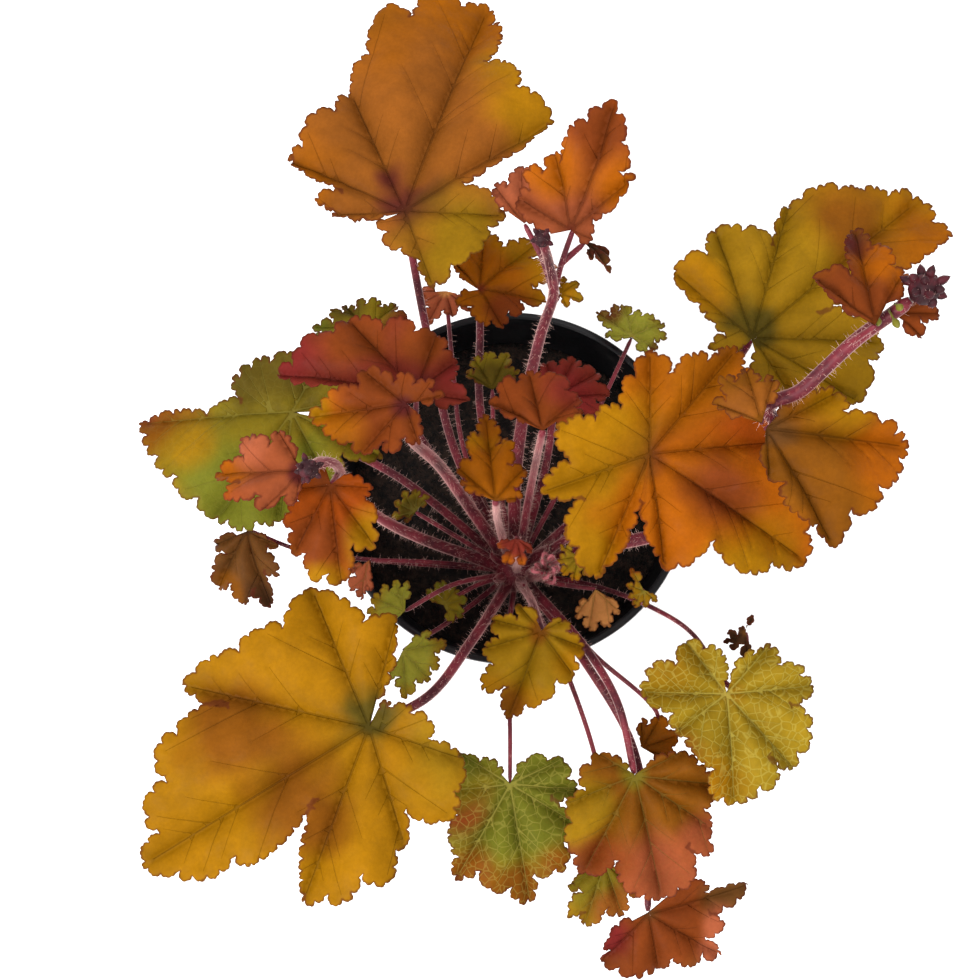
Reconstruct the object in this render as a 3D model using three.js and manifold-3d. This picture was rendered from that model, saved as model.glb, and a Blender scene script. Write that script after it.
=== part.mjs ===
// A heuchera (coral bells) growing in a round nursery pot.
// Millimetres, +Z up. The origin is the middle of the pot's base, on the ground.
// +X is the viewer's right and +Y is away from the viewer.
//
// The plant is one rootstock with all its leaf stalks and flower stems, and each leaf blade,
// bract and flower bud head is a piece of its own colour that sits at the tip of its stalk.

import * as THREE from "three";
import { mergeVertices } from "three/addons/utils/BufferGeometryUtils.js";
import Module from "manifold-3d";

const wasm = await Module();
wasm.setup();

// ---------------------------------------------------------------- driving dimensions

const POT_HEIGHT = 110;
const POT_RIM_RADIUS = 65;
const POT_BASE_RADIUS = 47;
const POT_WALL = 1.6;
const POT_FLOOR = 2.2;
const LIP_HEIGHT = 10;
const LIP_STEP = 1.8;
const POT_SIDES = 40;
const DRAIN_HOLES = 6;
const DRAIN_HOLE_RADIUS = 5;
const DRAIN_RING_RADIUS = 32;

const SOIL_TOP = 92;
const SOIL_EDGE = 89;
const FIT = 0.3;

const CROWN = { x: 2, y: -29, z: 97 };
const ROOT_RADIUS = 8;
const ROOT_DEPTH = 24;

const BLADE = 0.9;
const TOOTH_WIDTH = 9;

// ---------------------------------------------------------------- solids and meshes

const group = new THREE.Group();

function addMesh(name, geometry, colour, roughness, parent = group) {
  const material = new THREE.MeshStandardMaterial({ color: colour, roughness, metalness: 0 });
  const mesh = new THREE.Mesh(geometry, material);
  mesh.name = name;
  parent.add(mesh);
  return mesh;
}

function toSolid(geometry) {
  const bare = geometry.clone();
  bare.deleteAttribute("normal");
  bare.deleteAttribute("uv");
  const welded = mergeVertices(bare, 1e-4);
  const vertProperties = new Float32Array(welded.attributes.position.array);
  const triVerts = new Uint32Array(welded.index.array);
  return new wasm.Manifold(new wasm.Mesh({ numProp: 3, vertProperties, triVerts }));
}

function toGeometry(solid) {
  const mesh = solid.getMesh();
  const geometry = new THREE.BufferGeometry();
  geometry.setAttribute("position", new THREE.BufferAttribute(mesh.vertProperties, 3));
  geometry.setIndex(new THREE.BufferAttribute(mesh.triVerts, 1));
  return geometry;
}

// A turned shape: profile points are [radius, height], and +Z is the axis.
function turned(profile, sides) {
  const points = profile.map(([radius, height]) => new THREE.Vector2(radius, height));
  return new THREE.LatheGeometry(points, sides).rotateX(Math.PI / 2);
}

// ---------------------------------------------------------------- pot

// The wall leans outwards to the rim, which is a thicker lip folded over the top.
function wallRadius(height) {
  const lipFoot = POT_HEIGHT - LIP_HEIGHT;
  const lean = (POT_RIM_RADIUS - LIP_STEP - POT_BASE_RADIUS) / lipFoot;
  return POT_BASE_RADIUS + lean * Math.min(height, lipFoot);
}

function buildPot() {
  const lipFoot = POT_HEIGHT - LIP_HEIGHT;
  const inside = wallRadius(lipFoot) - POT_WALL;
  const shell = turned([
    [0, 0],
    [POT_BASE_RADIUS - 1.5, 0],
    [POT_BASE_RADIUS, 1.5],
    [wallRadius(lipFoot), lipFoot],
    [POT_RIM_RADIUS - 0.6, lipFoot + 0.4],
    [POT_RIM_RADIUS, POT_HEIGHT - 1],
    [POT_RIM_RADIUS - 0.8, POT_HEIGHT],
    [POT_RIM_RADIUS - 2, POT_HEIGHT],
    [inside + 0.4, POT_HEIGHT - 2],
    [inside, lipFoot],
    [wallRadius(POT_FLOOR) - POT_WALL, POT_FLOOR],
    [0, POT_FLOOR],
  ], POT_SIDES);
  let pot = toSolid(shell);
  for (let i = 0; i < DRAIN_HOLES; i += 1) {
    const angle = (i / DRAIN_HOLES) * 2 * Math.PI;
    const hole = new THREE.CylinderGeometry(DRAIN_HOLE_RADIUS, DRAIN_HOLE_RADIUS, 3 * POT_FLOOR, 10);
    hole.rotateX(Math.PI / 2);
    hole.translate(DRAIN_RING_RADIUS * Math.cos(angle), DRAIN_RING_RADIUS * Math.sin(angle), POT_FLOOR / 2);
    pot = pot.subtract(toSolid(hole));
  }
  addMesh("pot", toGeometry(pot), 0x17181a, 0.45);
}

// ---------------------------------------------------------------- compost

// The compost fills the pot to a finger below the lip, a little heaped round the crown,
// with a plain hole where the rootstock stands.
function buildCompost() {
  const bottom = POT_FLOOR + FIT;
  const fill = turned([
    [0, bottom],
    [wallRadius(bottom) - POT_WALL - FIT, bottom],
    [wallRadius(SOIL_EDGE) - POT_WALL - FIT, SOIL_EDGE],
    [45, SOIL_TOP - 1],
    [20, SOIL_TOP],
    [0, SOIL_TOP],
  ], POT_SIDES);
  const hole = new THREE.CylinderGeometry(ROOT_RADIUS + FIT, ROOT_RADIUS + FIT, 2 * ROOT_DEPTH, 12);
  hole.rotateX(Math.PI / 2);
  hole.translate(CROWN.x, CROWN.y, SOIL_TOP);
  addMesh("compost", toGeometry(toSolid(fill).subtract(toSolid(hole))), 0x1c1916, 0.95);
}

// ---------------------------------------------------------------- leaf blades

// Each row is one blade. heart is where the blade meets its stalk, and heading is the way the
// blade points, in degrees from +X. tilt is how far the blade leans, and the way it leans.
// A lobe is [angle of its tip from the heading, length, angle of the notch after it, radius of
// that notch], and start is the corner before the first lobe. On a small blade a lobe is just
// [angle, length], and notch is how deep all its notches are, as a share of the lobes beside
// them. droop is how far the margin hangs below the heart, fold how far the blade rises
// between its veins, and ruffle how far the margin waves, all in millimetres.
const LEAVES = [
  {
    name: "top_amber", heart: [-34, 69, 196], heading: 95, tilt: [8, 100], colour: 0xb8671a,
    droop: 8, fold: 6, ruffle: 2.5,
    start: [-252, 7],
    lobes: [
      [-246, 10, -222, 10], [-203, 15, -190, 14], [-178, 17, -171, 18], [-166, 28, -150, 26],
      [-117, 28, -111, 27], [-98, 31, -72, 20], [-60, 57, -45, 55], [-40, 61, -30, 60],
      [-27, 79, -25, 78], [-22, 87, -17, 83], [-11, 85, -6, 71], [1, 75, 8, 58], [18, 47, 28, 42],
      [44, 43, 50, 40], [58, 42, 68, 20], [79, 28, 85, 22], [89, 23, 105, 6],
    ],
  },
  {
    name: "top_orange_upright", heart: [15, 49, 230], heading: 48, tilt: [38, 215], colour: 0xc46a1c,
    droop: -4, fold: 3.5, ruffle: 1.5,
    start: [-100, 4],
    lobes: [
      [-70, 8, -34, 8], [-16, 25, -10, 23], [-5, 30, -1, 30], [4, 36, 8, 36], [13, 38, 22, 31],
      [33, 27, 40, 19], [50, 22, 60, 18], [72, 21, 82, 17], [100, 18, 140, 6],
    ],
  },
  {
    name: "back_brown", heart: [-11, 52, 172], heading: -59, tilt: [10, 90], colour: 0x9c5a1c,
    droop: 3, fold: 2, ruffle: 1,
    start: [-120, 4],
    lobes: [
      [-82, 10, -55, 8], [-24, 14, -14, 12], [-2, 16, 12, 13], [26, 17, 36, 14], [50, 22, 60, 17],
      [76, 26, 90, 20], [104, 27, 122, 17], [146, 21, 168, 12], [190, 13, 212, 5],
    ],
  },
  {
    name: "right_gold", heart: [74, 31, 186], heading: 27, tilt: [6, 45], colour: 0xb07c14,
    droop: 5, fold: 5.5, ruffle: 2,
    start: [-124, 5],
    lobes: [
      [-112, 26, -100, 22], [-86, 32, -74, 28], [-58, 39, -42, 36], [-27, 41, -14, 32],
      [-11, 31, -7, 22], [1, 75, 7, 75], [14, 79, 20, 71], [27, 64, 32, 60], [38, 58, 42, 53],
      [45, 50, 48, 32], [58, 36, 66, 35], [78, 38, 91, 30], [110, 33, 121, 20], [132, 14, 150, 9],
      [168, 15, 200, 4],
    ],
  },
  {
    name: "right_orange", heart: [39, -10, 205], heading: -41, tilt: [6, 300], colour: 0xc8701a,
    droop: 5, fold: 5, ruffle: 2,
    start: [-62, 15],
    lobes: [
      [-42, 34, -16, 31], [-9, 46, -1, 48], [8, 57, 15, 52], [23, 47, 33, 38], [47, 39, 60, 35],
      [78, 38, 84, 38], [91, 42, 99, 33], [107, 32, 116, 24], [130, 31, 143, 24], [154, 21, 164, 16],
      [182, 20, 190, 19], [208, 29, 226, 24], [241, 34, 254, 24], [264, 35, 272, 36],
      [288, 40, 298, 14],
    ],
  },
  {
    name: "right_bract", heart: [67, -10, 236], heading: -4, tilt: [12, 320], colour: 0xb8681a,
    droop: 4, fold: 4, ruffle: 1.5,
    start: [-108, 4],
    lobes: [
      [-84, 14, -76, 15], [-66, 26, -59, 29], [-54, 37, -40, 32], [-28, 37, -22, 35], [-11, 41, -6, 40],
      [0, 43, 5, 38], [10, 31, 17, 22], [32, 23, 43, 17], [50, 13, 57, 4],
    ],
  },
  {
    name: "right_small_bract", heart: [64, -10, 244], heading: 121, tilt: [15, 130], colour: 0xa8561c,
    droop: 1, fold: 1, ruffle: 0.5, notch: 0.82,
    lobes: [[-48, 14], [-20, 17], [5, 17], [32, 14]],
  },
  {
    name: "bud_bract_up", heart: [89, 10, 266], heading: 90, tilt: [25, 100], colour: 0xa24c1c,
    droop: 1, fold: 2, ruffle: 0.5,
    start: [-40, 7],
    lobes: [[-30, 20, -22, 19], [-11, 27, -6, 25], [0, 34, 14, 16], [40, 21, 60, 4]],
  },
  {
    name: "bud_bract_low", heart: [97, 16, 256], heading: 6, tilt: [20, 320], colour: 0x9c4f22,
    droop: 1, fold: 1, ruffle: 0.5,
    start: [-60, 3],
    lobes: [[-38, 11, -20, 7], [-2, 14, 30, 4]],
  },
  {
    name: "left_red", heart: [-29, 6, 214], heading: 139, tilt: [8, 120], colour: 0x9c3b2a,
    droop: 4, fold: 4, ruffle: 1.5,
    start: [-177, 6],
    lobes: [
      [-150, 16, -128, 11], [-99, 15, -86, 15], [-66, 19, -50, 18], [-33, 23, -24, 22], [-8, 32, 3, 31],
      [20, 38, 25, 38], [30, 43, 36, 22], [48, 21, 60, 7],
    ],
  },
  {
    name: "left_orange_front", heart: [-31, -1, 228], heading: -177, tilt: [10, 225], colour: 0xb4521e,
    droop: 2, fold: 2, ruffle: 1,
    start: [-190, 4],
    lobes: [
      [-172, 11, -160, 8], [-145, 10, -124, 6], [-94, 9, -72, 7], [-42, 16, -26, 14], [-8, 23, -4, 24],
      [3, 28, 10, 24], [20, 23, 32, 19], [44, 19, 56, 12], [68, 15, 84, 10], [104, 12, 140, 4],
    ],
  },
  {
    name: "left_bract_low", heart: [-53, -21, 214], heading: -105, tilt: [12, 250], colour: 0xb8591e,
    droop: 3, fold: 2, ruffle: 1,
    start: [-150, 6],
    lobes: [
      [-68, 12, -52, 10], [-32, 17, -26, 17], [-14, 23, -7, 21], [5, 28, 11, 26], [20, 29, 34, 19],
      [50, 22, 62, 17], [72, 16, 84, 11], [100, 12, 140, 5],
    ],
  },
  {
    name: "left_bract_tip", heart: [-59, -20, 230], heading: 176, tilt: [28, 160], colour: 0xb45a28,
    droop: 1, fold: 2, ruffle: 1,
    start: [-60, 4],
    lobes: [
      [-48, 16, -36, 13], [-22, 24, -12, 20], [0, 30, 8, 20], [20, 24, 34, 14], [48, 16, 62, 9],
      [84, 10, 110, 3],
    ],
  },
  {
    name: "left_olive", heart: [-72, 13, 164], heading: 172, tilt: [8, 180], colour: 0x8c7a1e,
    droop: 6, fold: 4.5, ruffle: 2,
    start: [-178, 18],
    lobes: [
      [-160, 28, -140, 18], [-110, 24, -92, 17], [-74, 20, -62, 18], [-50, 21, -42, 20],
      [-34, 22, -28, 21], [-20, 23, -7, 17], [1, 26, 5, 29], [9, 54, 14, 51], [19, 51, 24, 48],
      [31, 47, 37, 43], [44, 45, 50, 42], [62, 43, 68, 41], [76, 42, 82, 38], [92, 36, 112, 25],
      [126, 32, 146, 24], [160, 34, 172, 18],
    ],
  },
  {
    name: "back_left_olive", heart: [-49, 45, 150], heading: 87, tilt: [12, 110], colour: 0x7c6420,
    droop: 3, fold: 2, ruffle: 1, notch: 0.8,
    lobes: [
      [-96, 15], [-68, 15], [-38, 14], [-10, 12], [20, 12], [42, 14], [62, 16], [82, 20], [100, 20],
    ],
  },
  {
    name: "left_brown", heart: [-91, -21, 132], heading: -72, tilt: [25, 230], colour: 0x6e4520,
    droop: 4, fold: 3, ruffle: 1,
    start: [-98, 4],
    lobes: [
      [-84, 14, -68, 11], [-50, 26, -38, 20], [-21, 26, -14, 20], [-4, 28, 8, 15], [22, 19, 34, 10],
      [50, 12, 63, 4],
    ],
  },
  {
    name: "front_left_gold", heart: [-44, -88, 178], heading: -149, tilt: [5, 230], colour: 0xc08a14,
    droop: 8, fold: 6, ruffle: 2.5,
    start: [-145, 8],
    lobes: [
      [-135, 34, -120, 32], [-97, 46, -81, 40], [-73, 44, -62, 46], [-43, 60, -40, 43],
      [-33, 57, -30, 58], [-24, 65, -17, 63], [-9, 73, -5, 71], [0, 82, 6, 73], [10, 69, 13, 56],
      [19, 53, 22, 26], [38, 56, 45, 51], [51, 52, 57, 43], [67, 46, 72, 38], [76, 37, 83, 27],
      [103, 37, 113, 33], [130, 30, 137, 19], [157, 19, 166, 14], [176, 14, 190, 9], [204, 10, 212, 6],
    ],
  },
  {
    name: "front_green_a", heart: [-37, -48, 128], heading: 162, tilt: [10, 200], colour: 0x77762a,
    droop: 1, fold: 1, ruffle: 0.5, notch: 0.82,
    lobes: [[-80, 10], [-54, 11], [-30, 12], [-5, 13], [20, 13], [48, 12]],
  },
  {
    name: "front_green_b", heart: [-38, -61, 120], heading: -61, tilt: [12, 250], colour: 0x7c7424,
    droop: 1, fold: 1, ruffle: 0.5, notch: 0.82,
    lobes: [[-58, 11], [-25, 17], [14, 14], [40, 14], [72, 16], [96, 12]],
  },
  {
    name: "front_green_c", heart: [-24, -45, 118], heading: 46, tilt: [10, 250], colour: 0x806c22,
    droop: 1, fold: 1, ruffle: 0.5, notch: 0.82,
    lobes: [[-111, 7], [-75, 8], [-30, 8], [8, 8], [50, 9], [95, 8]],
  },
  {
    name: "centre_gold", heart: [-6, -19, 180], heading: 94, tilt: [20, 95], colour: 0xb07a1c,
    droop: 2, fold: 2, ruffle: 1,
    start: [-110, 3],
    lobes: [
      [-90, 8, -66, 7], [-42, 15, -28, 12], [-14, 22, -8, 19], [2, 32, 9, 24], [16, 24, 24, 16],
      [41, 17, 50, 12], [60, 12, 70, 4],
    ],
  },
  {
    name: "centre_red", heart: [1, -28, 160], heading: -100, tilt: [20, 265], colour: 0xa83e2c,
    droop: 1, fold: 1, ruffle: 0.5, notch: 0.66,
    lobes: [[-60, 7], [-12, 10], [22, 9], [60, 7]],
  },
  {
    name: "left_small_green", heart: [-33, -16, 142], heading: -175, tilt: [12, 180], colour: 0x6c5a20,
    droop: 1, fold: 1, ruffle: 0.3, notch: 0.75,
    lobes: [[-140, 7], [-100, 8], [-64, 8], [-32, 8], [6, 8], [40, 5]],
  },
  {
    name: "front_gold", heart: [9, -57, 152], heading: -113, tilt: [12, 270], colour: 0xb07c20,
    droop: 3, fold: 4, ruffle: 1.5,
    start: [-150, 4],
    lobes: [
      [-116, 12, -100, 9], [-80, 17, -62, 14], [-50, 20, -36, 19], [-23, 27, -12, 21], [2, 31, 10, 25],
      [20, 24, 38, 17], [58, 18, 74, 14], [91, 15, 112, 9], [138, 9, 160, 4],
    ],
  },
  {
    name: "front_green_orange", heart: [-1, -106, 128], heading: -64, tilt: [14, 270], colour: 0x8a7428,
    droop: 3, fold: 4, ruffle: 1.5,
    start: [-178, 4],
    lobes: [
      [-165, 13, -158, 13], [-147, 20, -130, 18], [-108, 21, -90, 20], [-70, 28, -62, 30],
      [-54, 38, -46, 31], [-34, 36, -26, 35], [-16, 42, -11, 32], [-2, 33, 2, 32], [7, 34, 18, 27],
      [33, 25, 47, 14], [60, 23, 72, 20], [90, 20, 100, 16], [120, 13, 128, 4],
    ],
  },
  {
    name: "front_orange_brown", heart: [40, -103, 136], heading: -79, tilt: [14, 275], colour: 0xa65e2c,
    droop: 3, fold: 4, ruffle: 1.5,
    start: [-156, 3],
    lobes: [
      [-132, 15, -120, 16], [-106, 19, -88, 17], [-78, 25, -68, 26], [-55, 32, -48, 33],
      [-37, 38, -24, 28], [-12, 39, -7, 40], [2, 43, 10, 41], [19, 39, 26, 28], [33, 36, 38, 33],
      [44, 31, 54, 25], [72, 26, 92, 21], [106, 18, 120, 4],
    ],
  },
  {
    name: "front_brown_under", heart: [44, -94, 122], heading: 39, tilt: [12, 300], colour: 0x8c5220,
    droop: 1, fold: 1, ruffle: 0.5, notch: 0.85,
    lobes: [[-62, 13], [-22, 13], [18, 13], [52, 10]],
  },
  {
    name: "front_bottom_brown", heart: [46, -149, 114], heading: -48, tilt: [18, 280], colour: 0x8a4a1c,
    droop: 3, fold: 3, ruffle: 1.5,
    start: [-120, 6],
    lobes: [
      [-96, 19, -88, 18], [-82, 24, -70, 22], [-56, 22, -44, 20], [-30, 20, -14, 17], [4, 24, 10, 23],
      [17, 30, 25, 21], [42, 26, 50, 20], [62, 36, 70, 21], [84, 22, 98, 9],
    ],
  },
  {
    name: "front_bottom_yellow", heart: [31, -132, 120], heading: -101, tilt: [18, 265], colour: 0x9c7424,
    droop: 2, fold: 2, ruffle: 0.5, notch: 0.8,
    lobes: [[-45, 15], [-22, 23], [-6, 24], [28, 20], [60, 16]],
  },
  {
    name: "front_right_gold", heart: [69, -77, 148], heading: -84, tilt: [8, 290], colour: 0xb8881e,
    droop: 3, fold: 4, ruffle: 1.5,
    start: [-183, 4],
    lobes: [
      [-172, 16, -160, 17], [-148, 22, -127, 20], [-117, 27, -107, 27], [-97, 28, -80, 20],
      [-60, 21, -52, 20], [-36, 22, -20, 24], [-14, 34, -9, 34], [-1, 36, 12, 32], [24, 32, 27, 23],
      [36, 33, 43, 30], [53, 31, 60, 28], [68, 28, 74, 20], [89, 29, 98, 25], [106, 25, 114, 19],
      [131, 22, 139, 16], [147, 16, 158, 4],
    ],
  },
  {
    name: "front_peach", heart: [29, -40, 122], heading: -87, tilt: [15, 270], colour: 0xd0793c,
    droop: 1, fold: 1, ruffle: 0.5, notch: 0.82,
    lobes: [[-40, 12], [-12, 15], [18, 14], [44, 12]],
  },
  {
    name: "front_lime", heart: [45, -41, 129], heading: -136, tilt: [15, 300], colour: 0x86962c,
    droop: 0.5, fold: 0.5, ruffle: 0.3, notch: 0.7,
    lobes: [[-104, 9], [-62, 6], [-18, 6], [15, 7], [52, 6], [96, 6]],
  },
  {
    name: "centre_brown", heart: [8, -1, 198], heading: 101, tilt: [15, 100], colour: 0x93501e,
    droop: 2, fold: 2, ruffle: 0.5,
    start: [-92, 4],
    lobes: [
      [-80, 13, -70, 12], [-56, 16, -44, 15], [-24, 20, -12, 18], [0, 21, 12, 18], [26, 21, 36, 18],
      [47, 19, 60, 5],
    ],
  },
  {
    name: "back_red", heart: [14, 21, 150], heading: 46, tilt: [15, 90], colour: 0x8c2f2e,
    droop: 2, fold: 2, ruffle: 0.5, notch: 0.82,
    lobes: [[-66, 17], [-38, 19], [-10, 19], [20, 18], [52, 15], [84, 14]],
  },
  {
    name: "back_centre_olive", heart: [-7, 22, 160], heading: 116, tilt: [15, 100], colour: 0x70601e,
    droop: 1, fold: 1, ruffle: 0.5, notch: 0.78,
    lobes: [[-80, 11], [-46, 15], [-20, 14], [2, 14], [30, 11]],
  },
  {
    name: "left_pink", heart: [-50, -30, 124], heading: -120, tilt: [35, 200], colour: 0xb8504c,
    droop: 1, fold: 1, ruffle: 0.5, notch: 0.82,
    lobes: [[-30, 9], [-6, 14], [14, 15], [38, 11]],
  },
  {
    name: "centre_yellow", heart: [22, -31, 142], heading: -131, tilt: [20, 0], colour: 0xa8862a,
    droop: 0.5, fold: 0.5, ruffle: 0.3, notch: 0.75,
    lobes: [[-76, 7], [-34, 8], [0, 9], [30, 9], [70, 7]],
  },
  {
    name: "back_pink", heart: [-23, 62, 142], heading: -105, tilt: [15, 100], colour: 0x9c4438,
    droop: 1, fold: 1, ruffle: 0.5, notch: 0.8,
    lobes: [[-76, 10], [-46, 11], [-12, 15], [28, 11], [62, 12]],
  },
  {
    name: "top_pink_under", heart: [2, 56, 219], heading: 98, tilt: [20, 150], colour: 0xb4504c,
    droop: 1, fold: 1, ruffle: 0.5, notch: 0.82,
    lobes: [[-62, 15], [-34, 18], [-6, 20], [24, 17]],
  },
  {
    name: "back_olive", heart: [44, 53, 118], heading: 7, tilt: [12, 60], colour: 0x7c6c26,
    droop: 1, fold: 1, ruffle: 0.5, notch: 0.8,
    lobes: [
      [-66, 9], [-34, 10], [-8, 13], [20, 14], [42, 12], [68, 11], [92, 14], [112, 14], [136, 16],
      [176, 10],
    ],
  },
  {
    name: "stem_yellow_bract", heart: [13, 38, 208], heading: 15, tilt: [10, 60], colour: 0xa07c20,
    droop: 0.5, fold: 0.5, ruffle: 0.3, notch: 0.75,
    lobes: [[-80, 5], [-30, 7], [20, 7], [60, 6]],
  },
  {
    name: "dry_bract", heart: [20, 49, 222], heading: -55, tilt: [30, 40], colour: 0x5c3a1c,
    droop: 1, fold: 1, ruffle: 0.5, notch: 0.6,
    lobes: [[-30, 7], [0, 12], [30, 8]],
  },
  {
    name: "front_right_dry", heart: [76, -57, 146], heading: 190, tilt: [20, 200], colour: 0x5a3020,
    droop: 1, fold: 1, ruffle: 0.5,
    start: [-140, 2],
    lobes: [
      [-125, 6, -112, 2], [-65, 2.2, -20, 2.2], [-8, 6, 2, 5.5], [14, 8, 22, 6], [38, 7, 58, 4],
      [82, 9, 97, 2],
    ],
  },
];

const DEGREES = Math.PI / 180;
const DEFAULT_NOTCH = 0.8;
const LOBE_FULLNESS = 0.5;
const LOBE_SHOULDER = 2.6;
const BASE_SHARE = 0.35;

// The lobes of a blade as sectors, each from the notch before it to the notch after it.
function sectors(leaf) {
  const { lobes, start, notch = DEFAULT_NOTCH } = leaf;
  const half = (a, b) => Math.min(30, Math.abs(a[0] - b[0]) / 2);
  let from = start
    ? { angle: start[0], radius: start[1] }
    : { angle: lobes[0][0] - half(lobes[0], lobes[1]), radius: BASE_SHARE * lobes[0][1] };
  return lobes.map((lobe, i) => {
    const [angle, length, notchAngle, notchRadius] = lobe;
    const after = lobes[i + 1];
    let to;
    if (notchAngle !== undefined) to = { angle: notchAngle, radius: notchRadius };
    else if (after) to = { angle: (after[0] + angle) / 2, radius: notch * Math.min(after[1], length) };
    else to = { angle: angle + half(lobe, lobes[i - 1]), radius: BASE_SHARE * length };
    const sector = { from, to, angle, length };
    from = to;
    return sector;
  });
}

// A point on the margin, at share s of the way through one sector.
function marginPoint(sector, s) {
  const { from, to, angle, length } = sector;
  const direction = from.angle + (to.angle - from.angle) * s;
  const side = direction < angle ? from : to;
  const t = Math.min(1, Math.abs(direction - angle) / Math.abs(side.angle - angle));
  const swell = (1 - t ** LOBE_SHOULDER) ** LOBE_FULLNESS;
  return { direction: direction * DEGREES, radius: side.radius + (length - side.radius) * swell };
}

// The main veins run from the heart to a few of the lobes, evenly spread over the blade.
function mainVeins({ lobes }, reach) {
  const count = reach > 40 ? 7 : 5;
  const first = lobes[0][0];
  const last = lobes[lobes.length - 1][0];
  const veins = [];
  for (let i = 0; i < count; i += 1) {
    const wanted = first + ((last - first) * i) / (count - 1);
    const nearest = lobes.reduce((best, lobe) =>
      (Math.abs(lobe[0] - wanted) < Math.abs(best[0] - wanted) ? lobe : best));
    if (!veins.includes(nearest[0])) veins.push(nearest[0]);
  }
  return veins;
}

// How far a direction lies from the main veins on its two sides: 0 on a vein, 1 half way.
function betweenVeins(veins, direction) {
  const angle = direction / DEGREES;
  for (let i = 0; i + 1 < veins.length; i += 1) {
    if (angle >= veins[i] && angle <= veins[i + 1]) {
      return Math.sin((Math.PI * (angle - veins[i])) / (veins[i + 1] - veins[i]));
    }
  }
  return 0;
}

// Heights over the plane of the blade: low along the veins, raised between them, with the
// margin hanging and a little waved. share is the way from the heart to the margin, and s is
// the way through a lobe.
function bladeHeight(leaf, reach, veins, direction, radius, share, s) {
  const out = radius / reach;
  const ridge = leaf.fold * out * betweenVeins(veins, direction);
  const lobeFold = 0.25 * leaf.fold * out * share * Math.cos(2 * Math.PI * s);
  const hang = leaf.droop * out * out;
  const wave = leaf.ruffle * share ** 3 * Math.sin(5 * direction + leaf.heading);
  return ridge + lobeFold - hang + wave;
}

function rowOfPoints(leaf, reach, veins, share, stops) {
  const row = [];
  const addPoint = (sector, at, s) => {
    const { direction, radius } = marginPoint(sector, s);
    const r = radius * share;
    const height = bladeHeight(leaf, reach, veins, direction, r, share, s);
    row.push({ at, point: new THREE.Vector3(r * Math.cos(direction), r * Math.sin(direction), height) });
  };
  const parts = sectors(leaf);
  parts.forEach((sector, i) => {
    const width = sector.length * (sector.to.angle - sector.from.angle) * DEGREES;
    for (const s of stops(width)) addPoint(sector, i + s, s);
  });
  addPoint(parts[parts.length - 1], parts.length, 1);
  return row;
}

const VEIN_STOPS = () => [0, 0.5];

// A narrow lobe is a tooth, a wider one has a blunt tip with a shoulder on each side.
const MARGIN_STOPS = (width) => {
  if (width < TOOTH_WIDTH) return [0, 0.5];
  if (width < 2 * TOOTH_WIDTH) return [0, 0.3, 0.7];
  return [0, 0.2, 0.5, 0.8];
};

// A thin closed blade: the same triangles on both faces, and a wall round the margin.
function bladeGeometry(leaf) {
  const reach = Math.max(...leaf.lobes.map(([, length]) => length));
  const veins = mainVeins(leaf, reach);
  const shares = reach > 50 ? [0.35, 0.7, 1] : [0.5, 1];
  const rows = shares.map((share) =>
    rowOfPoints(leaf, reach, veins, share, share === 1 ? MARGIN_STOPS : VEIN_STOPS));
  const points = [new THREE.Vector3(0, 0, 0)];
  const indexRows = rows.map((row) => row.map(({ point }) => points.push(point) - 1));
  const faces = [];
  for (let i = 0; i + 1 < indexRows[0].length; i += 1) {
    faces.push([0, indexRows[0][i], indexRows[0][i + 1]]);
  }
  for (let k = 0; k + 1 < rows.length; k += 1) {
    const inner = indexRows[k];
    const outer = indexRows[k + 1];
    let i = 0;
    let j = 0;
    while (i + 1 < inner.length || j + 1 < outer.length) {
      const nextInner = i + 1 < inner.length ? rows[k][i + 1].at : Infinity;
      const nextOuter = j + 1 < outer.length ? rows[k + 1][j + 1].at : Infinity;
      if (nextOuter <= nextInner) {
        faces.push([inner[i], outer[j], outer[j + 1]]);
        j += 1;
      } else {
        faces.push([inner[i], outer[j], inner[i + 1]]);
        i += 1;
      }
    }
  }
  const rim = [
    0,
    ...indexRows.slice(0, -1).map((row) => row[0]),
    ...indexRows[indexRows.length - 1],
    ...indexRows.slice(0, -1).reverse().map((row) => row[row.length - 1]),
  ];
  const under = points.length;
  const positions = [];
  for (const { x, y, z } of points) positions.push(x, y, z);
  for (const { x, y, z } of points) positions.push(x, y, z - BLADE);
  const index = [];
  for (const [a, b, c] of faces) index.push(a, b, c, under + a, under + c, under + b);
  rim.forEach((a, i) => {
    const b = rim[(i + 1) % rim.length];
    index.push(a, under + a, b, b, under + a, under + b);
  });
  const geometry = new THREE.BufferGeometry();
  geometry.setAttribute("position", new THREE.Float32BufferAttribute(positions, 3));
  geometry.setIndex(index);
  return geometry;
}

// The blade's own axes in the plant: along its heading, across it, and square to its face.
function bladeAxes({ heading, tilt }) {
  const lean = tilt[0] * DEGREES;
  const towards = tilt[1] * DEGREES;
  const normal = new THREE.Vector3(
    Math.sin(lean) * Math.cos(towards),
    Math.sin(lean) * Math.sin(towards),
    Math.cos(lean),
  );
  const x = Math.cos(heading * DEGREES);
  const y = Math.sin(heading * DEGREES);
  const along = new THREE.Vector3(x, y, -(normal.x * x + normal.y * y) / normal.z).normalize();
  const across = new THREE.Vector3().crossVectors(normal, along);
  return { along, across, normal };
}

function buildLeaves() {
  const foliage = new THREE.Group();
  group.add(foliage);
  for (const leaf of LEAVES) {
    const blade = addMesh(`leaf_${leaf.name}`, bladeGeometry(leaf), leaf.colour, 0.55, foliage);
    const { along, across, normal } = bladeAxes(leaf);
    blade.position.set(...leaf.heart);
    blade.quaternion.setFromRotationMatrix(new THREE.Matrix4().makeBasis(along, across, normal));
  }
}

// ---------------------------------------------------------------- rootstock, stalks and stems

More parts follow.
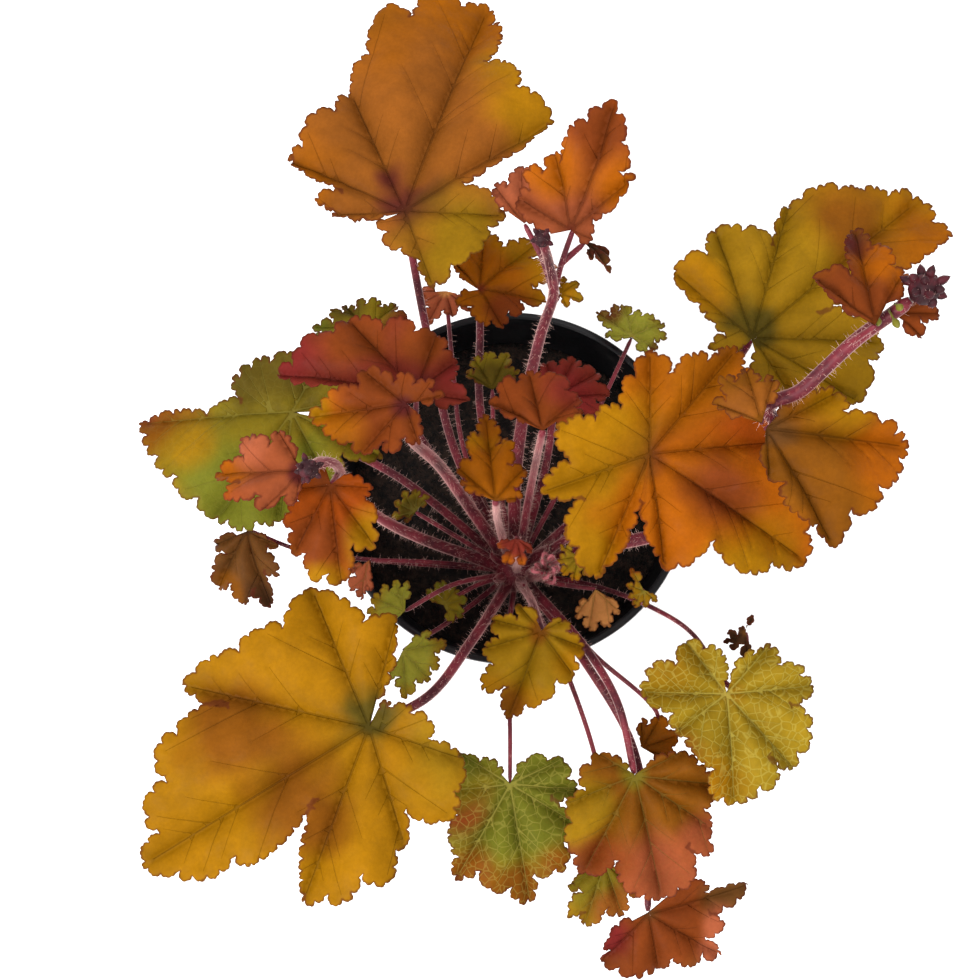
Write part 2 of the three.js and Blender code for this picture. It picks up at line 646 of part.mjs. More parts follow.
// A rod along a smooth curve, closed at both ends: a turned rod that is bent. widths are its
// radii at even steps from its foot to its tip.
function bentRod(points, widths, sides) {
  const curve = new THREE.CatmullRomCurve3(points, false, "centripetal");
  const shares = widths.map((_, i) => i / (widths.length - 1));
  const frames = [];
  const across = new THREE.Vector3(0.3, -0.2, 1);
  for (const share of shares) {
    const tangent = curve.getTangentAt(share);
    across.addScaledVector(tangent, -across.dot(tangent)).normalize();
    const up = new THREE.Vector3().crossVectors(tangent, across);
    frames.push({ centre: curve.getPointAt(share), across: across.clone(), up });
  }
  const last = widths.length - 1;
  const profile = [[0, 0], ...widths.map((width, i) => [width, i]), [0, last]];
  const rod = turned(profile, sides);
  const position = rod.attributes.position;
  for (let i = 0; i < position.count; i += 1) {
    const frame = frames[Math.round(position.getZ(i))];
    const bent = frame.centre.clone()
      .addScaledVector(frame.across, position.getX(i))
      .addScaledVector(frame.up, position.getY(i));
    position.setXYZ(i, bent.x, bent.y, bent.z);
  }
  return rod;
}

const LEAF_STALK = 1.5;
const THIN_STALK = 0.9;
const TWIG = 0.8;
const FLOWER_STEM = 2.3;

// The way each stalk takes from the crown to the heart of its blade.
const LEAF_STALKS = [
  { leaf: "back_brown", radius: LEAF_STALK, by: [[-11, 20, 138], [-11, 42, 160]] },
  { leaf: "top_amber", radius: LEAF_STALK, by: [[-20, 7, 135], [-28, 38, 162], [-32, 57, 182]] },
  { leaf: "left_olive", radius: LEAF_STALK, by: [[-38, -4, 138], [-61, 6, 154]] },
  { leaf: "back_left_olive", radius: LEAF_STALK, by: [[-22, -1, 120], [-39, 23, 138]] },
  { leaf: "left_brown", radius: THIN_STALK, by: [[-47, -29, 116], [-73, -27, 127]] },
  { leaf: "front_left_gold", radius: 1.8, by: [[-14, -59, 135], [-27, -78, 158]] },
  { leaf: "front_green_a", radius: THIN_STALK, by: [[-22, -39, 123]] },
  { leaf: "front_green_b", radius: THIN_STALK, by: [[-22, -50, 112]] },
  { leaf: "front_green_c", radius: THIN_STALK, by: [[-14, -38, 112]] },
  { leaf: "left_pink", radius: THIN_STALK, by: [[-29, -29, 112]] },
  { leaf: "left_small_green", radius: THIN_STALK, by: [[-20, -21, 122]] },
  { leaf: "centre_gold", radius: LEAF_STALK, by: [[-5, -19, 140]] },
  { leaf: "centre_red", radius: LEAF_STALK, by: [[2, -30, 130]] },
  { leaf: "centre_brown", radius: LEAF_STALK, by: [[6, -8, 140]] },
  { leaf: "back_red", radius: LEAF_STALK, by: [[12, 4, 125]] },
  { leaf: "back_centre_olive", radius: THIN_STALK, by: [[-6, 5, 135]] },
  { leaf: "right_orange", radius: LEAF_STALK, by: [[26, -19, 140], [36, -12, 178]] },
  { leaf: "right_gold", radius: LEAF_STALK, by: [[33, -7, 135], [60, 12, 165]] },
  { leaf: "back_olive", radius: THIN_STALK, by: [[21, 5, 108], [37, 38, 114]] },
  { leaf: "front_gold", radius: LEAF_STALK, by: [[7, -46, 130]] },
  { leaf: "front_green_orange", radius: THIN_STALK, by: [[-2, -63, 122], [-1, -85, 127]] },
  { leaf: "front_orange_brown", radius: LEAF_STALK, by: [[26, -62, 126], [35, -80, 135]] },
  { leaf: "front_brown_under", radius: THIN_STALK, by: [[28, -62, 120], [50, -84, 121]] },
  { leaf: "front_bottom_brown", radius: LEAF_STALK, by: [[24, -63, 119], [41, -93, 119], [46, -121, 115]] },
  { leaf: "front_bottom_yellow", radius: THIN_STALK, by: [[20, -71, 116], [30, -105, 118]] },
  { leaf: "front_right_gold", radius: THIN_STALK, by: [[31, -38, 112], [48, -46, 122], [61, -58, 138]] },
  { leaf: "front_peach", radius: THIN_STALK, by: [[17, -37, 113]] },
  { leaf: "centre_yellow", radius: THIN_STALK, by: [[16, -30, 120]] },
  { leaf: "back_pink", radius: THIN_STALK, by: [[-17, 10, 122], [-21, 40, 134]] },
];

// Two small leaves grow from the side of the stalk of front_right_gold.
const SIDE_TWIGS = [
  { leaf: "front_lime", by: [[46, -44.5, 120.5]] },
  { leaf: "front_right_dry", by: [[67.5, -72, 144.5], [73, -75, 142], [78, -69, 141], [77, -63, 143]] },
];

// Flower stems rise above the leaves and carry bracts and a head of buds. A branch starts
// inside the stem and ends under its bract.
const FLOWER_STEMS = [
  {
    name: "top", radius: FLOWER_STEM, end: 1.3, head: { radius: 2.4, buds: 7 },
    by: [[1, -3, 130], [4, 18, 160], [8, 31, 190], [11, 37, 212], [9, 41, 226], [7, 42, 238]],
    branches: [
      { leaf: "top_orange_upright", by: [[11, 37, 211], [13, 43, 220]] },
      { leaf: "top_pink_under", by: [[11, 37, 210], [8, 46, 213]] },
      { leaf: "stem_yellow_bract", by: [[9, 34, 200]] },
      { leaf: "dry_bract", by: [[13, 43, 220]] },
    ],
  },
  {
    name: "right", radius: FLOWER_STEM, end: 1.8, head: { radius: 4, buds: 15 },
    by: [
      [31, -25, 122], [49, -24, 145], [68, -18, 172], [82, -11, 200], [76, -9, 222],
      [68, -3, 233], [75, -1, 241], [81, 4, 247], [88, 10, 253], [96, 15, 260], [99, 17, 263],
    ],
    branches: [
      { leaf: "right_bract", by: [[73, -6, 227]] },
      { leaf: "right_small_bract", by: [[68, -3, 234], [65, -6, 239]] },
      { leaf: "bud_bract_up", by: [[86, 9, 252]] },
      { leaf: "bud_bract_low", by: [[89, 11, 254], [94, 14, 253]] },
    ],
  },
  {
    name: "left_front", radius: 2.1, end: 1.6,
    by: [[-15, -12, 130], [-24, -5, 165], [-31, -4, 196], [-31, -5, 216]],
    branches: [
      { leaf: "left_orange_front", by: [[-31, -5, 215]] },
      { leaf: "left_red", by: [[-30, -4, 200]] },
    ],
  },
  {
    name: "far_left", radius: 2, end: 1.3, head: { radius: 2.8, buds: 9 },
    by: [[-32, -23, 130], [-45, -20, 160], [-51, -16, 190], [-52, -15, 214], [-55, -17, 226], [-56, -20, 233]],
    branches: [
      { leaf: "left_bract_low", by: [[-52, -15, 202]] },
      { leaf: "left_bract_tip", by: [[-53, -16, 220]] },
    ],
  },
];

const leafByName = new Map(LEAVES.map((leaf) => [leaf.name, leaf]));

// The stalk's round end just clears the underside of the blade, whichever way it arrives.
function stalkTip(name, before, radius) {
  const leaf = leafByName.get(name);
  const { normal } = bladeAxes(leaf);
  const heart = new THREE.Vector3(...leaf.heart);
  const upright = heart.clone().sub(before).normalize().dot(normal);
  const edge = radius * Math.sqrt(1 - upright * upright);
  return heart.addScaledVector(normal, -(BLADE + FIT + edge));
}

// Every stalk starts inside the rootstock, a little to the side that it leaves on.
function stalkFoot([x, y]) {
  const out = new THREE.Vector2(x - CROWN.x, y - CROWN.y);
  out.setLength(Math.min(5, out.length()));
  return new THREE.Vector3(CROWN.x + out.x, CROWN.y + out.y, CROWN.z - 4);
}

const STEP_LENGTH = 16;

function taper(points, startRadius, endRadius) {
  let length = 0;
  for (let i = 1; i < points.length; i += 1) length += points[i].distanceTo(points[i - 1]);
  const steps = Math.max(3, Math.round(length / STEP_LENGTH));
  return Array.from({ length: steps + 1 }, (_, i) => startRadius + (endRadius - startRadius) * (i / steps));
}

// Young leaves still folded in the crown: [height, lean, the way it leans in degrees, radius].
const YOUNG_LEAVES = [
  [24, 9, -30, 2.6], [20, 11, 25, 2.4], [18, 8, -75, 2.2], [15, 9, 80, 2], [14, 9, 160, 1.8], [13, 9, 215, 1.8],
];

function buildCrown() {
  const foot = SOIL_TOP - ROOT_DEPTH + FIT;
  const rootstock = turned([
    [0, foot],
    [ROOT_RADIUS * 0.8, foot],
    [ROOT_RADIUS, SOIL_TOP - 4],
    [ROOT_RADIUS, CROWN.z],
    [ROOT_RADIUS * 0.5, CROWN.z + 5],
    [0, CROWN.z + 6],
  ], 10).translate(CROWN.x, CROWN.y, 0);
  const solids = [toSolid(rootstock)];
  const grow = (points, startRadius, endRadius, sides) => {
    solids.push(toSolid(bentRod(points, taper(points, startRadius, endRadius), sides)));
  };
  const toVector = ([x, y, z]) => new THREE.Vector3(x, y, z);
  const growTo = (leaf, points, startRadius, endRadius, sides) => {
    const before = points[points.length - 1];
    grow([...points, stalkTip(leaf, before, endRadius)], startRadius, endRadius, sides);
  };
  for (const { leaf, radius, by } of LEAF_STALKS) {
    const points = [stalkFoot(by[0]), ...by.map(toVector)];
    growTo(leaf, points, radius * 1.25, radius * 0.8, radius > THIN_STALK ? 6 : 5);
  }
  for (const { radius, end, by, branches } of FLOWER_STEMS) {
    grow([stalkFoot(by[0]), ...by.map(toVector)], radius * 1.2, end, 7);
    for (const { leaf, by: turns } of branches) growTo(leaf, turns.map(toVector), TWIG * 1.3, TWIG, 5);
  }
  for (const { leaf, by } of SIDE_TWIGS) growTo(leaf, by.map(toVector), TWIG, TWIG, 5);
  for (const [height, lean, towards, radius] of YOUNG_LEAVES) {
    const x = Math.cos(towards * DEGREES);
    const y = Math.sin(towards * DEGREES);
    const at = (out, up) => new THREE.Vector3(CROWN.x + out * x, CROWN.y + out * y, CROWN.z + up);
    const points = [at(lean * 0.5, 0), at(lean, height * 0.6), at(lean * 1.1, height)];
    solids.push(toSolid(bentRod(points, [radius * 0.8, radius, radius * 0.7, 0.3], 6)));
  }
  addMesh("crown_and_stalks", toGeometry(wasm.Manifold.union(solids)), 0x8a3a44, 0.7);
}

// ---------------------------------------------------------------- flower bud heads

// Pointed buds crowd round a small round core, turned a golden angle from one to the next.
const GOLDEN_ANGLE = Math.PI * (3 - Math.sqrt(5));

function budHead(name, tip, axis, { radius, buds }) {
  const core = new THREE.SphereGeometry(radius, 8, 6).rotateX(Math.PI / 2);
  const solids = [toSolid(core)];
  for (let i = 0; i < buds; i += 1) {
    const height = 1 - 1.45 * ((i + 0.5) / buds);
    const out = Math.sqrt(1 - height * height);
    const turn = i * GOLDEN_ANGLE;
    const way = new THREE.Vector3(out * Math.cos(turn), out * Math.sin(turn), height);
    const length = radius * (0.8 + 0.2 * Math.cos(3 * turn));
    const width = radius * 0.3;
    const bud = turned([[0, 0], [width, length * 0.45], [width * 0.7, length * 0.8], [0, length]], 5);
    bud.applyQuaternion(new THREE.Quaternion().setFromUnitVectors(new THREE.Vector3(0, 0, 1), way));
    bud.translate(way.x * radius * 0.75, way.y * radius * 0.75, way.z * radius * 0.75);
    solids.push(toSolid(bud));
  }
  const head = addMesh(`bud_head_${name}`, toGeometry(wasm.Manifold.union(solids)), 0x5e2430, 0.7);
  head.position.copy(tip).addScaledVector(axis, radius + FIT);
  head.quaternion.setFromUnitVectors(new THREE.Vector3(0, 0, 1), axis);
}

function buildBudHeads() {
  for (const { name, by, head } of FLOWER_STEMS) {
    if (!head) continue;
    const tip = new THREE.Vector3(...by[by.length - 1]);
    const before = new THREE.Vector3(...by[by.length - 2]);
    budHead(name, tip, tip.clone().sub(before).normalize(), head);
  }
}

buildPot();
buildCompost();
buildCrown();
buildLeaves();
buildBudHeads();

export default group;
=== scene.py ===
import math
from dataclasses import dataclass

import bpy
import numpy as np
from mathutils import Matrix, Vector
from mathutils.geometry import delaunay_2d_cdt
from mathutils.kdtree import KDTree


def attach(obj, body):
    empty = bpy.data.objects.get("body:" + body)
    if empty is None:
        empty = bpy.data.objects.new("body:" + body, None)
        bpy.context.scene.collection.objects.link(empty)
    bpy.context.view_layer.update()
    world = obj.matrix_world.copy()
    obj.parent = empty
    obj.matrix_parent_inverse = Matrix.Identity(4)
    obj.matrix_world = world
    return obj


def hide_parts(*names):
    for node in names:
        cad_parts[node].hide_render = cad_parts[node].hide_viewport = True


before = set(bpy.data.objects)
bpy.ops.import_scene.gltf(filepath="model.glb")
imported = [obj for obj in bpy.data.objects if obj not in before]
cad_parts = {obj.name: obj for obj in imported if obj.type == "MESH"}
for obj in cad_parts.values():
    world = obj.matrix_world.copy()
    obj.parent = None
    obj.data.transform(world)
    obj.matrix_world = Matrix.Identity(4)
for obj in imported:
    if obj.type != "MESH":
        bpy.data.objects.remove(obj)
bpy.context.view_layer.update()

MM = 0.001

# ------------------------------------------------------------------ camera
# A 50 mm lens looks almost straight down on the pot from an arm's length above the leaves. Its
# target is a point at rim height, a little to the left of the pot's axis.

CAMERA_ELEVATION = math.radians(79)
CAMERA_DISTANCE = 492 * MM
CAMERA_TARGET = Vector((-7.7, -2.4, 110)) * MM
CAMERA_LENS = 50
CAMERA_SENSOR = 36
CAMERA_NEAR = 0.01


def aimed_object(name, data, place, back):
    """An object at a place, facing away from the direction back."""
    made = bpy.data.objects.new(name, data)
    made.location = place
    made.rotation_mode = "QUATERNION"
    made.rotation_quaternion = back.to_track_quat("Z", "Y")
    bpy.context.scene.collection.objects.link(made)
    return made


camera_data = bpy.data.cameras.new("camera")
camera_data.lens = CAMERA_LENS
camera_data.sensor_width = CAMERA_SENSOR
camera_data.clip_start = CAMERA_NEAR
camera_back = Vector((0, -math.cos(CAMERA_ELEVATION), math.sin(CAMERA_ELEVATION)))
camera_place = CAMERA_TARGET + CAMERA_DISTANCE * camera_back
bpy.context.scene.camera = aimed_object("camera", camera_data, camera_place, camera_back)

# ------------------------------------------------------------------ pot
# One thin shell of black injection moulded plastic with a thicker lip band round the rim.
# It is satin, a little dusty, and greyer in patches on the lip band.

POT_HEIGHT = 110
POT_RIM_RADIUS = 65
POT_BASE_RADIUS = 47
POT_WALL = 1.6
POT_FLOOR = 2.2
LIP_HEIGHT = 10
LIP_STEP = 1.8
LIP_FOOT = POT_HEIGHT - LIP_HEIGHT
POT_SIDES = 160
POT_SHARP_ANGLE = math.radians(35)
DRAIN_HOLES = 6
DRAIN_HOLE_RADIUS = 5
DRAIN_HOLE_SIDES = 32
DRAIN_RING_RADIUS = 32
DULL_SHINE = 0.2
POT_BLACK = "#0e0e10"
POT_DUST = "#2e2c2a"


def wall_radius(height):
    lean = (POT_RIM_RADIUS - LIP_STEP - POT_BASE_RADIUS) / LIP_FOOT
    return POT_BASE_RADIUS + lean * min(height, LIP_FOOT)


def linked_piece(name, mesh):
    piece = bpy.data.objects.new(name, mesh)
    bpy.context.scene.collection.objects.link(piece)
    return piece


def new_piece(name, vertices, faces):
    """A smooth mesh object from vertices in millimetres."""
    mesh = bpy.data.meshes.new(name)
    mesh.from_pydata([tuple(v) for v in np.asarray(vertices) * MM], [], faces)
    mesh.validate()
    for polygon in mesh.polygons:
        polygon.use_smooth = True
    return linked_piece(name, mesh)


def ring(radius, height, sides):
    turns = np.arange(sides) * 2 * math.pi / sides
    return [(radius * math.cos(a), radius * math.sin(a), height) for a in turns]


def ring_faces(sides, rings):
    """Faces of a closed shape with a first point, then rings of points, then a last point."""
    last = 1 + rings * sides
    faces = []
    for i in range(sides):
        j = (i + 1) % sides
        faces.append((0, 1 + j, 1 + i))
        for low in range(1, last - sides, sides):
            faces.append((low + i, low + j, low + sides + j, low + sides + i))
        faces.append((last - sides + i, last - sides + j, last))
    return faces


def final_shape(piece):
    """A piece's mesh with its modifiers applied."""
    bpy.context.view_layer.update()
    return bpy.data.meshes.new_from_object(piece.evaluated_get(bpy.context.evaluated_depsgraph_get()))


def colour(text):
    """A linear colour from an sRGB hex code."""
    parts = [int(text[i:i + 2], 16) / 255 for i in (1, 3, 5)]
    linear = [c / 12.92 if c <= 0.04045 else ((c + 0.055) / 1.055) ** 2.4 for c in parts]
    return (*linear, 1)


def node(tree, kind, inputs=None, **settings):
    """A shader or geometry node with its settings, values and links."""
    made = tree.nodes.new(kind)
    for name, value in settings.items():
        setattr(made, name, value)
    for name, value in (inputs or {}).items():
        if isinstance(value, bpy.types.NodeSocket):
            tree.links.new(value, made.inputs[name])
        else:
            made.inputs[name].default_value = value
    return made


def mixed(tree, share, first, second):
    made = node(tree, "ShaderNodeMix", {0: share, 6: first, 7: second}, data_type="RGBA")
    return made.outputs[2]


def ramped(tree, value, low, high, to_low=0.0, to_high=1.0):
    made = node(
        tree, "ShaderNodeMapRange",
        {"Value": value, "From Min": low, "From Max": high, "To Min": to_low, "To Max": to_high},
        interpolation_type="SMOOTHSTEP",
    )
    return made.outputs["Result"]


def combined(tree, operation, first, second=0.0):
    return node(tree, "ShaderNodeMath", {0: first, 1: second}, operation=operation).outputs[0]


def noise(tree, place, scale, detail=4.0, roughness=0.55):
    made = node(
        tree, "ShaderNodeTexNoise",
        {"Vector": place, "Scale": scale, "Detail": detail, "Roughness": roughness},
    )
    return made.outputs[0]


def new_material(name, **shader_values):
    """A material with a Principled shader, and the values that are the same all over it."""
    material = bpy.data.materials.new(name)
    material.use_nodes = True
    tree = material.node_tree
    shader = tree.nodes["Principled BSDF"]
    for socket, value in shader_values.items():
        shader.inputs[socket.replace("_", " ")].default_value = value
    return material, tree, shader


def own_place(tree):
    return node(tree, "ShaderNodeTexCoord").outputs["Object"]


def cover(tree, shader, base, height, strength, depth):
    """Gives a shader its base colour, and a bump of a depth in metres."""
    tree.links.new(base, shader.inputs["Base Color"])
    bump = node(tree, "ShaderNodeBump", {"Height": height, "Strength": strength, "Distance": depth})
    tree.links.new(bump.outputs[0], shader.inputs["Normal"])


def pot_plastic():
    material, tree, shader = new_material("pot_plastic", Specular_IOR_Level=DULL_SHINE)
    place = own_place(tree)
    stretched = node(tree, "ShaderNodeMapping", {"Vector": place, "Scale": (1, 1, 0.12)}).outputs[0]
    dust = noise(tree, place, 60, 6, 0.65)
    streaks = noise(tree, stretched, 260, 4, 0.6)
    height = node(tree, "ShaderNodeSeparateXYZ", {0: place}).outputs["Z"]
    lip = ramped(tree, height, (LIP_FOOT - 2) * MM, (POT_HEIGHT - 1) * MM)
    # Grey dusty patches, stronger on the lip band than on the wall below it.
    dust_more_on_lip = combined(tree, "MULTIPLY", ramped(tree, dust, 0.48, 0.75), combined(tree, "ADD", lip, 0.35))
    grey_share = combined(tree, "MULTIPLY", dust_more_on_lip, 0.55)
    tone = combined(tree, "ADD", grey_share, ramped(tree, streaks, 0.6, 0.8, 0, 0.08))
    tree.links.new(ramped(tree, dust, 0.3, 0.7, 0.34, 0.6), shader.inputs["Roughness"])
    cover(tree, shader, mixed(tree, tone, colour(POT_BLACK), colour(POT_DUST)), streaks, 0.12, 0.0004)
    return material


def build_pot():
    inside = wall_radius(LIP_FOOT) - POT_WALL
    floor_inside = wall_radius(POT_FLOOR) - POT_WALL
    profile = [
        (0, 0), (POT_BASE_RADIUS - 5, 0), (POT_BASE_RADIUS - 1.5, 0), (POT_BASE_RADIUS - 0.5, 0.5),
        (POT_BASE_RADIUS, 1.5), (wall_radius(30), 30), (wall_radius(60), 60), (wall_radius(88), 88),
        (wall_radius(LIP_FOOT) - 0.1, LIP_FOOT - 0.6), (wall_radius(LIP_FOOT) + 0.2, LIP_FOOT),
        (POT_RIM_RADIUS - 0.9, LIP_FOOT + 0.3), (POT_RIM_RADIUS - 0.5, LIP_FOOT + 0.9),
        (POT_RIM_RADIUS, POT_HEIGHT - 1), (POT_RIM_RADIUS - 0.25, POT_HEIGHT - 0.3),
        (POT_RIM_RADIUS - 0.9, POT_HEIGHT), (POT_RIM_RADIUS - 1.9, POT_HEIGHT),
        (POT_RIM_RADIUS - 2.6, POT_HEIGHT - 0.5), (inside + 0.4, POT_HEIGHT - 2), (inside, LIP_FOOT),
        (wall_radius(60) - POT_WALL, 60), (floor_inside + 0.6, POT_FLOOR + 1), (floor_inside, POT_FLOOR),
        (0, POT_FLOOR),
    ]
    vertices = [(0, 0, profile[0][1])]
    for radius, height in profile[1:-1]:
        vertices += ring(radius, height, POT_SIDES)
    vertices.append((0, 0, profile[-1][1]))
    pot = new_piece("nursery_pot", vertices, ring_faces(POT_SIDES, len(profile) - 2))
    for x, y, z in ring(DRAIN_RING_RADIUS, 0, DRAIN_HOLES):
        bpy.ops.mesh.primitive_cylinder_add(
            vertices=DRAIN_HOLE_SIDES, radius=DRAIN_HOLE_RADIUS * MM, depth=3 * POT_FLOOR * MM,
            location=(x * MM, y * MM, z),
        )
        drill = bpy.context.object
        cut = pot.modifiers.new("drain", "BOOLEAN")
        cut.object = drill
        cut.solver = "EXACT"
        shape = final_shape(pot)
        pot.modifiers.clear()
        pot.data = shape
        bpy.data.objects.remove(drill)
    for polygon in pot.data.polygons:
        polygon.use_smooth = True
    pot.data.set_sharp_from_angle(angle=POT_SHARP_ANGLE)
    pot.data.materials.clear()
    pot.data.materials.append(pot_plastic())
    return pot


pot = build_pot()
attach(pot, "root")
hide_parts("pot")

# ------------------------------------------------------------------ compost
# Dark damp peat compost, filled to a finger's width below the rim, with crumbs and bark
# slivers lying loose on it. The crumbs are placed by Geometry Nodes on the compost's top.

SOIL_TOP = 92
SOIL_EDGE = 89
FIT = 0.3
SOIL_SIDES = 120
SOIL_RINGS = 31
SOIL_ROUGHNESS = 1.1
SOIL_WAVE = 3
SOIL_SEED = 4
CRUMB_SEED = 5
CRUMB_SIZE = 1.6
CRUMB_LEAN = 0.5
SMALLEST_CRUMB = (0.25, 0.15, 0.12)
LARGEST_CRUMB = (0.9, 0.5, 0.4)
ANY_WAY_ROUND = 6.28
CRUMBS_PER_M2 = 260000
SOIL_DARK = "#0b0908"
SOIL_BROWN = "#2a1f18"
SOIL_FIBRE = "#4a3524"


def smooth_random(x, y, seed):
    """A cheap rolling field of sines, about -1 to 1, for uneven natural surfaces."""
    total = 0
    for k in range(1, 6):
        turn = seed * 1.7 + k * 2.4
        total = total + np.sin(k * (x * math.cos(turn) + y * math.sin(turn)) + seed * k) / k
    return total / 2


def soil_material():
    material, tree, shader = new_material("soil", Roughness=0.95, Specular_IOR_Level=DULL_SHINE)
    place = own_place(tree)
    lumps = noise(tree, place, 320, 6, 0.7)
    fibres = noise(tree, place, 900, 3, 0.6)
    dark = mixed(tree, ramped(tree, lumps, 0.4, 0.68), colour(SOIL_DARK), colour(SOIL_BROWN))
    tone = mixed(tree, ramped(tree, fibres, 0.62, 0.75, 0, 0.5), dark, colour(SOIL_FIBRE))
    cover(tree, shader, tone, lumps, 0.8, 0.0015)
    return material


def grown_mesh(base, tree, values, name):
    """Runs a Geometry Nodes tree on a piece and returns the result as a plain mesh piece."""
    modifier = base.modifiers.new("grow", "NODES")
    modifier.node_group = tree
    for item in tree.interface.items_tree:
        if item.item_type == "SOCKET" and item.in_out == "INPUT" and item.name in values:
            modifier[item.identifier] = values[item.name]
    shape = final_shape(base)
    base.modifiers.remove(modifier)
    return linked_piece(name, shape)


def scatter_tree(name, measures, most_lean, thing):
    """A Geometry Nodes tree that sets one thing all over a surface, leaning and sized at random."""
    tree = bpy.data.node_groups.new(name, "GeometryNodeTree")
    kinds = {"Geometry": "Geometry", "Seed": "Int", "Material": "Material"}
    for label in ("Geometry", "Density", *measures, "Seed", "Material"):
        kind = kinds.get(label, "Float")
        tree.interface.new_socket(label, in_out="INPUT", socket_type=f"NodeSocket{kind}")
    tree.interface.new_socket("Geometry", in_out="OUTPUT", socket_type="NodeSocketGeometry")
    given = node(tree, "NodeGroupInput").outputs
    points = node(tree, "GeometryNodeDistributePointsOnFaces", {
        "Mesh": given["Geometry"], "Density": given["Density"], "Seed": given["Seed"],
    }).outputs
    lean = node(tree, "FunctionNodeRandomValue", {
        0: (-most_lean, -most_lean, 0.0), 1: (most_lean, most_lean, ANY_WAY_ROUND), "Seed": given["Seed"],
    }, data_type="FLOAT_VECTOR").outputs[0]
    shape, turn, size = thing(tree, given, points, lean)
    placed = node(tree, "GeometryNodeInstanceOnPoints", {
        "Points": points["Points"], "Instance": shape, "Rotation": turn, "Scale": size,
    })
    real = node(tree, "GeometryNodeRealizeInstances", {"Geometry": placed.outputs[0]})
    finish = node(tree, "GeometryNodeSetMaterial", {
        "Geometry": real.outputs[0], "Material": given["Material"],
    })
    node(tree, "NodeGroupOutput", {0: finish.outputs[0]})
    return tree


def crumb(tree, given, points, lean):
    """A small angular lump that lies any way round."""
    lump = node(tree, "GeometryNodeMeshIcoSphere", {"Radius": 1.0, "Subdivisions": 1})
    stretch = node(tree, "FunctionNodeRandomValue", {
        0: SMALLEST_CRUMB, 1: LARGEST_CRUMB, "Seed": given["Seed"],
    }, data_type="FLOAT_VECTOR").outputs[0]
    size = node(tree, "ShaderNodeVectorMath", {0: stretch, "Scale": given["Size"]}, operation="SCALE")
    return lump.outputs["Mesh"], lean, size.outputs[0]


def build_compost():
    bottom = POT_FLOOR + FIT
    foot = wall_radius(bottom) - POT_WALL - FIT
    edge = wall_radius(SOIL_EDGE) - POT_WALL - FIT
    vertices = [(0, 0, bottom), *ring(foot, bottom, SOIL_SIDES)]
    for share in np.linspace(1, 0, SOIL_RINGS - 1, endpoint=False):
        dome = SOIL_EDGE + (SOIL_TOP - SOIL_EDGE) * min(1, 1.6 * (1 - share ** 2))
        for x, y, height in ring(edge * share, dome - 1, SOIL_SIDES):
            wave = smooth_random(x / SOIL_WAVE, y / SOIL_WAVE, SOIL_SEED)
            rough = SOIL_ROUGHNESS * min(1, 4 * (1 - share)) * wave
            vertices.append((x, y, height + min(1, rough)))
    vertices.append((0, 0, SOIL_TOP - 1))
    faces = ring_faces(SOIL_SIDES, SOIL_RINGS)
    compost = new_piece("compost_fill", vertices, faces)
    material = soil_material()
    compost.data.materials.append(material)
    bed = new_piece("crumb_bed", vertices, [f for f in faces if min(f) > SOIL_SIDES])
    crumbs = grown_mesh(bed, scatter_tree("scatter_crumbs", ["Size"], CRUMB_LEAN, crumb), {
        "Density": CRUMBS_PER_M2, "Size": CRUMB_SIZE * MM, "Seed": CRUMB_SEED, "Material": material,
    }, "compost_crumbs")
    bpy.data.objects.remove(bed)
    return compost, crumbs


compost, crumbs = build_compost()
for piece in (compost, crumbs):
    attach(piece, "root")
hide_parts("compost")

# ------------------------------------------------------------------ leaf blades
# Each blade is one thin leaf with rounded lobes, scalloped teeth, a crease along each main
# vein and swellings between the veins. The upper face carries the leaf's own turned autumn
# colours, darkened by painted shade along each main vein, as a "tone" attribute, and the
# underside is rose pink.

BLADE_THICKNESS = 0.8
MARGIN_THICKNESS = 0.35
POINT_SPACING = 0.7
SPACING_GROWTH = 0.005
MARGIN_ROOM = 0.4
VEIN_ROOM = 0.45
TOOTH_PITCH = 4.6
TOOTH_PITCHES = (0.7, 1.5)
TOOTH_DEPTH = 1.5
TOOTH_DEPTHS = (0.45, 1.15)
TOOTH_LEANS = (0.8, 1.3)
TOOTH_POINTS = (1.6, 3.2)
TOOTH_MIDDLE = 0.4
MARGIN_STEP = 0.45
FEWEST_STEPS = 5
FINE_TOOTH_PITCH = 1.9
FINE_TOOTH_DEPTH = 0.38
TOOTH_PLAY = 0.28
LOBE_BOW = 0.17
BOW_REACH = 14
BOW_STEPS = 12
BASE_SHARE = 0.35
WIDEST_BASE = 30
BIG_BLADE = 30
MAIN_VEIN = 0.6
MAIN_VEIN_TIP = 0.25
SIDE_VEIN = 0.3
SIDE_VEIN_TIP = 0.3
MOST_VEINS = 7
FEWER_VEINS = 5
VEIN_SPREAD = 38
VEIN_APART = 0.7 * VEIN_SPREAD
VEIN_REACH = 0.96
LOWEST_FORK = 0.12
HIGHEST_FORK = 0.85
TWIG_LENGTH = 0.42
TWIG_FORKS = (0.34, 0.56, 0.76)
TWIG_ROOM = 2.4
TWIG_LEAN = 42
SIDE_VEIN_APART = 7
FAR_AWAY = 99.0
PUFF_HEIGHT = 1.2
PUFF_WIDTH = 3
CREASE_SHADE = 0.3
CREASE_WIDTH = 3.5
GROOVE_DEPTH = 0.35
OUTER_FOLD = 20
BLADE_ROLL = 0.8
BLADE_ROLL_WIDTH = 5
EDGE_WAVE = 0.9
EDGE_WAVE_WIDTH = 2.6
EDGE_WAVE_REACH = 3
MARGIN_TAPER = 2
TONE_WANDER_WIDTH = 7
NEAR_HEART = 0.3
AT_HEART = 0.1

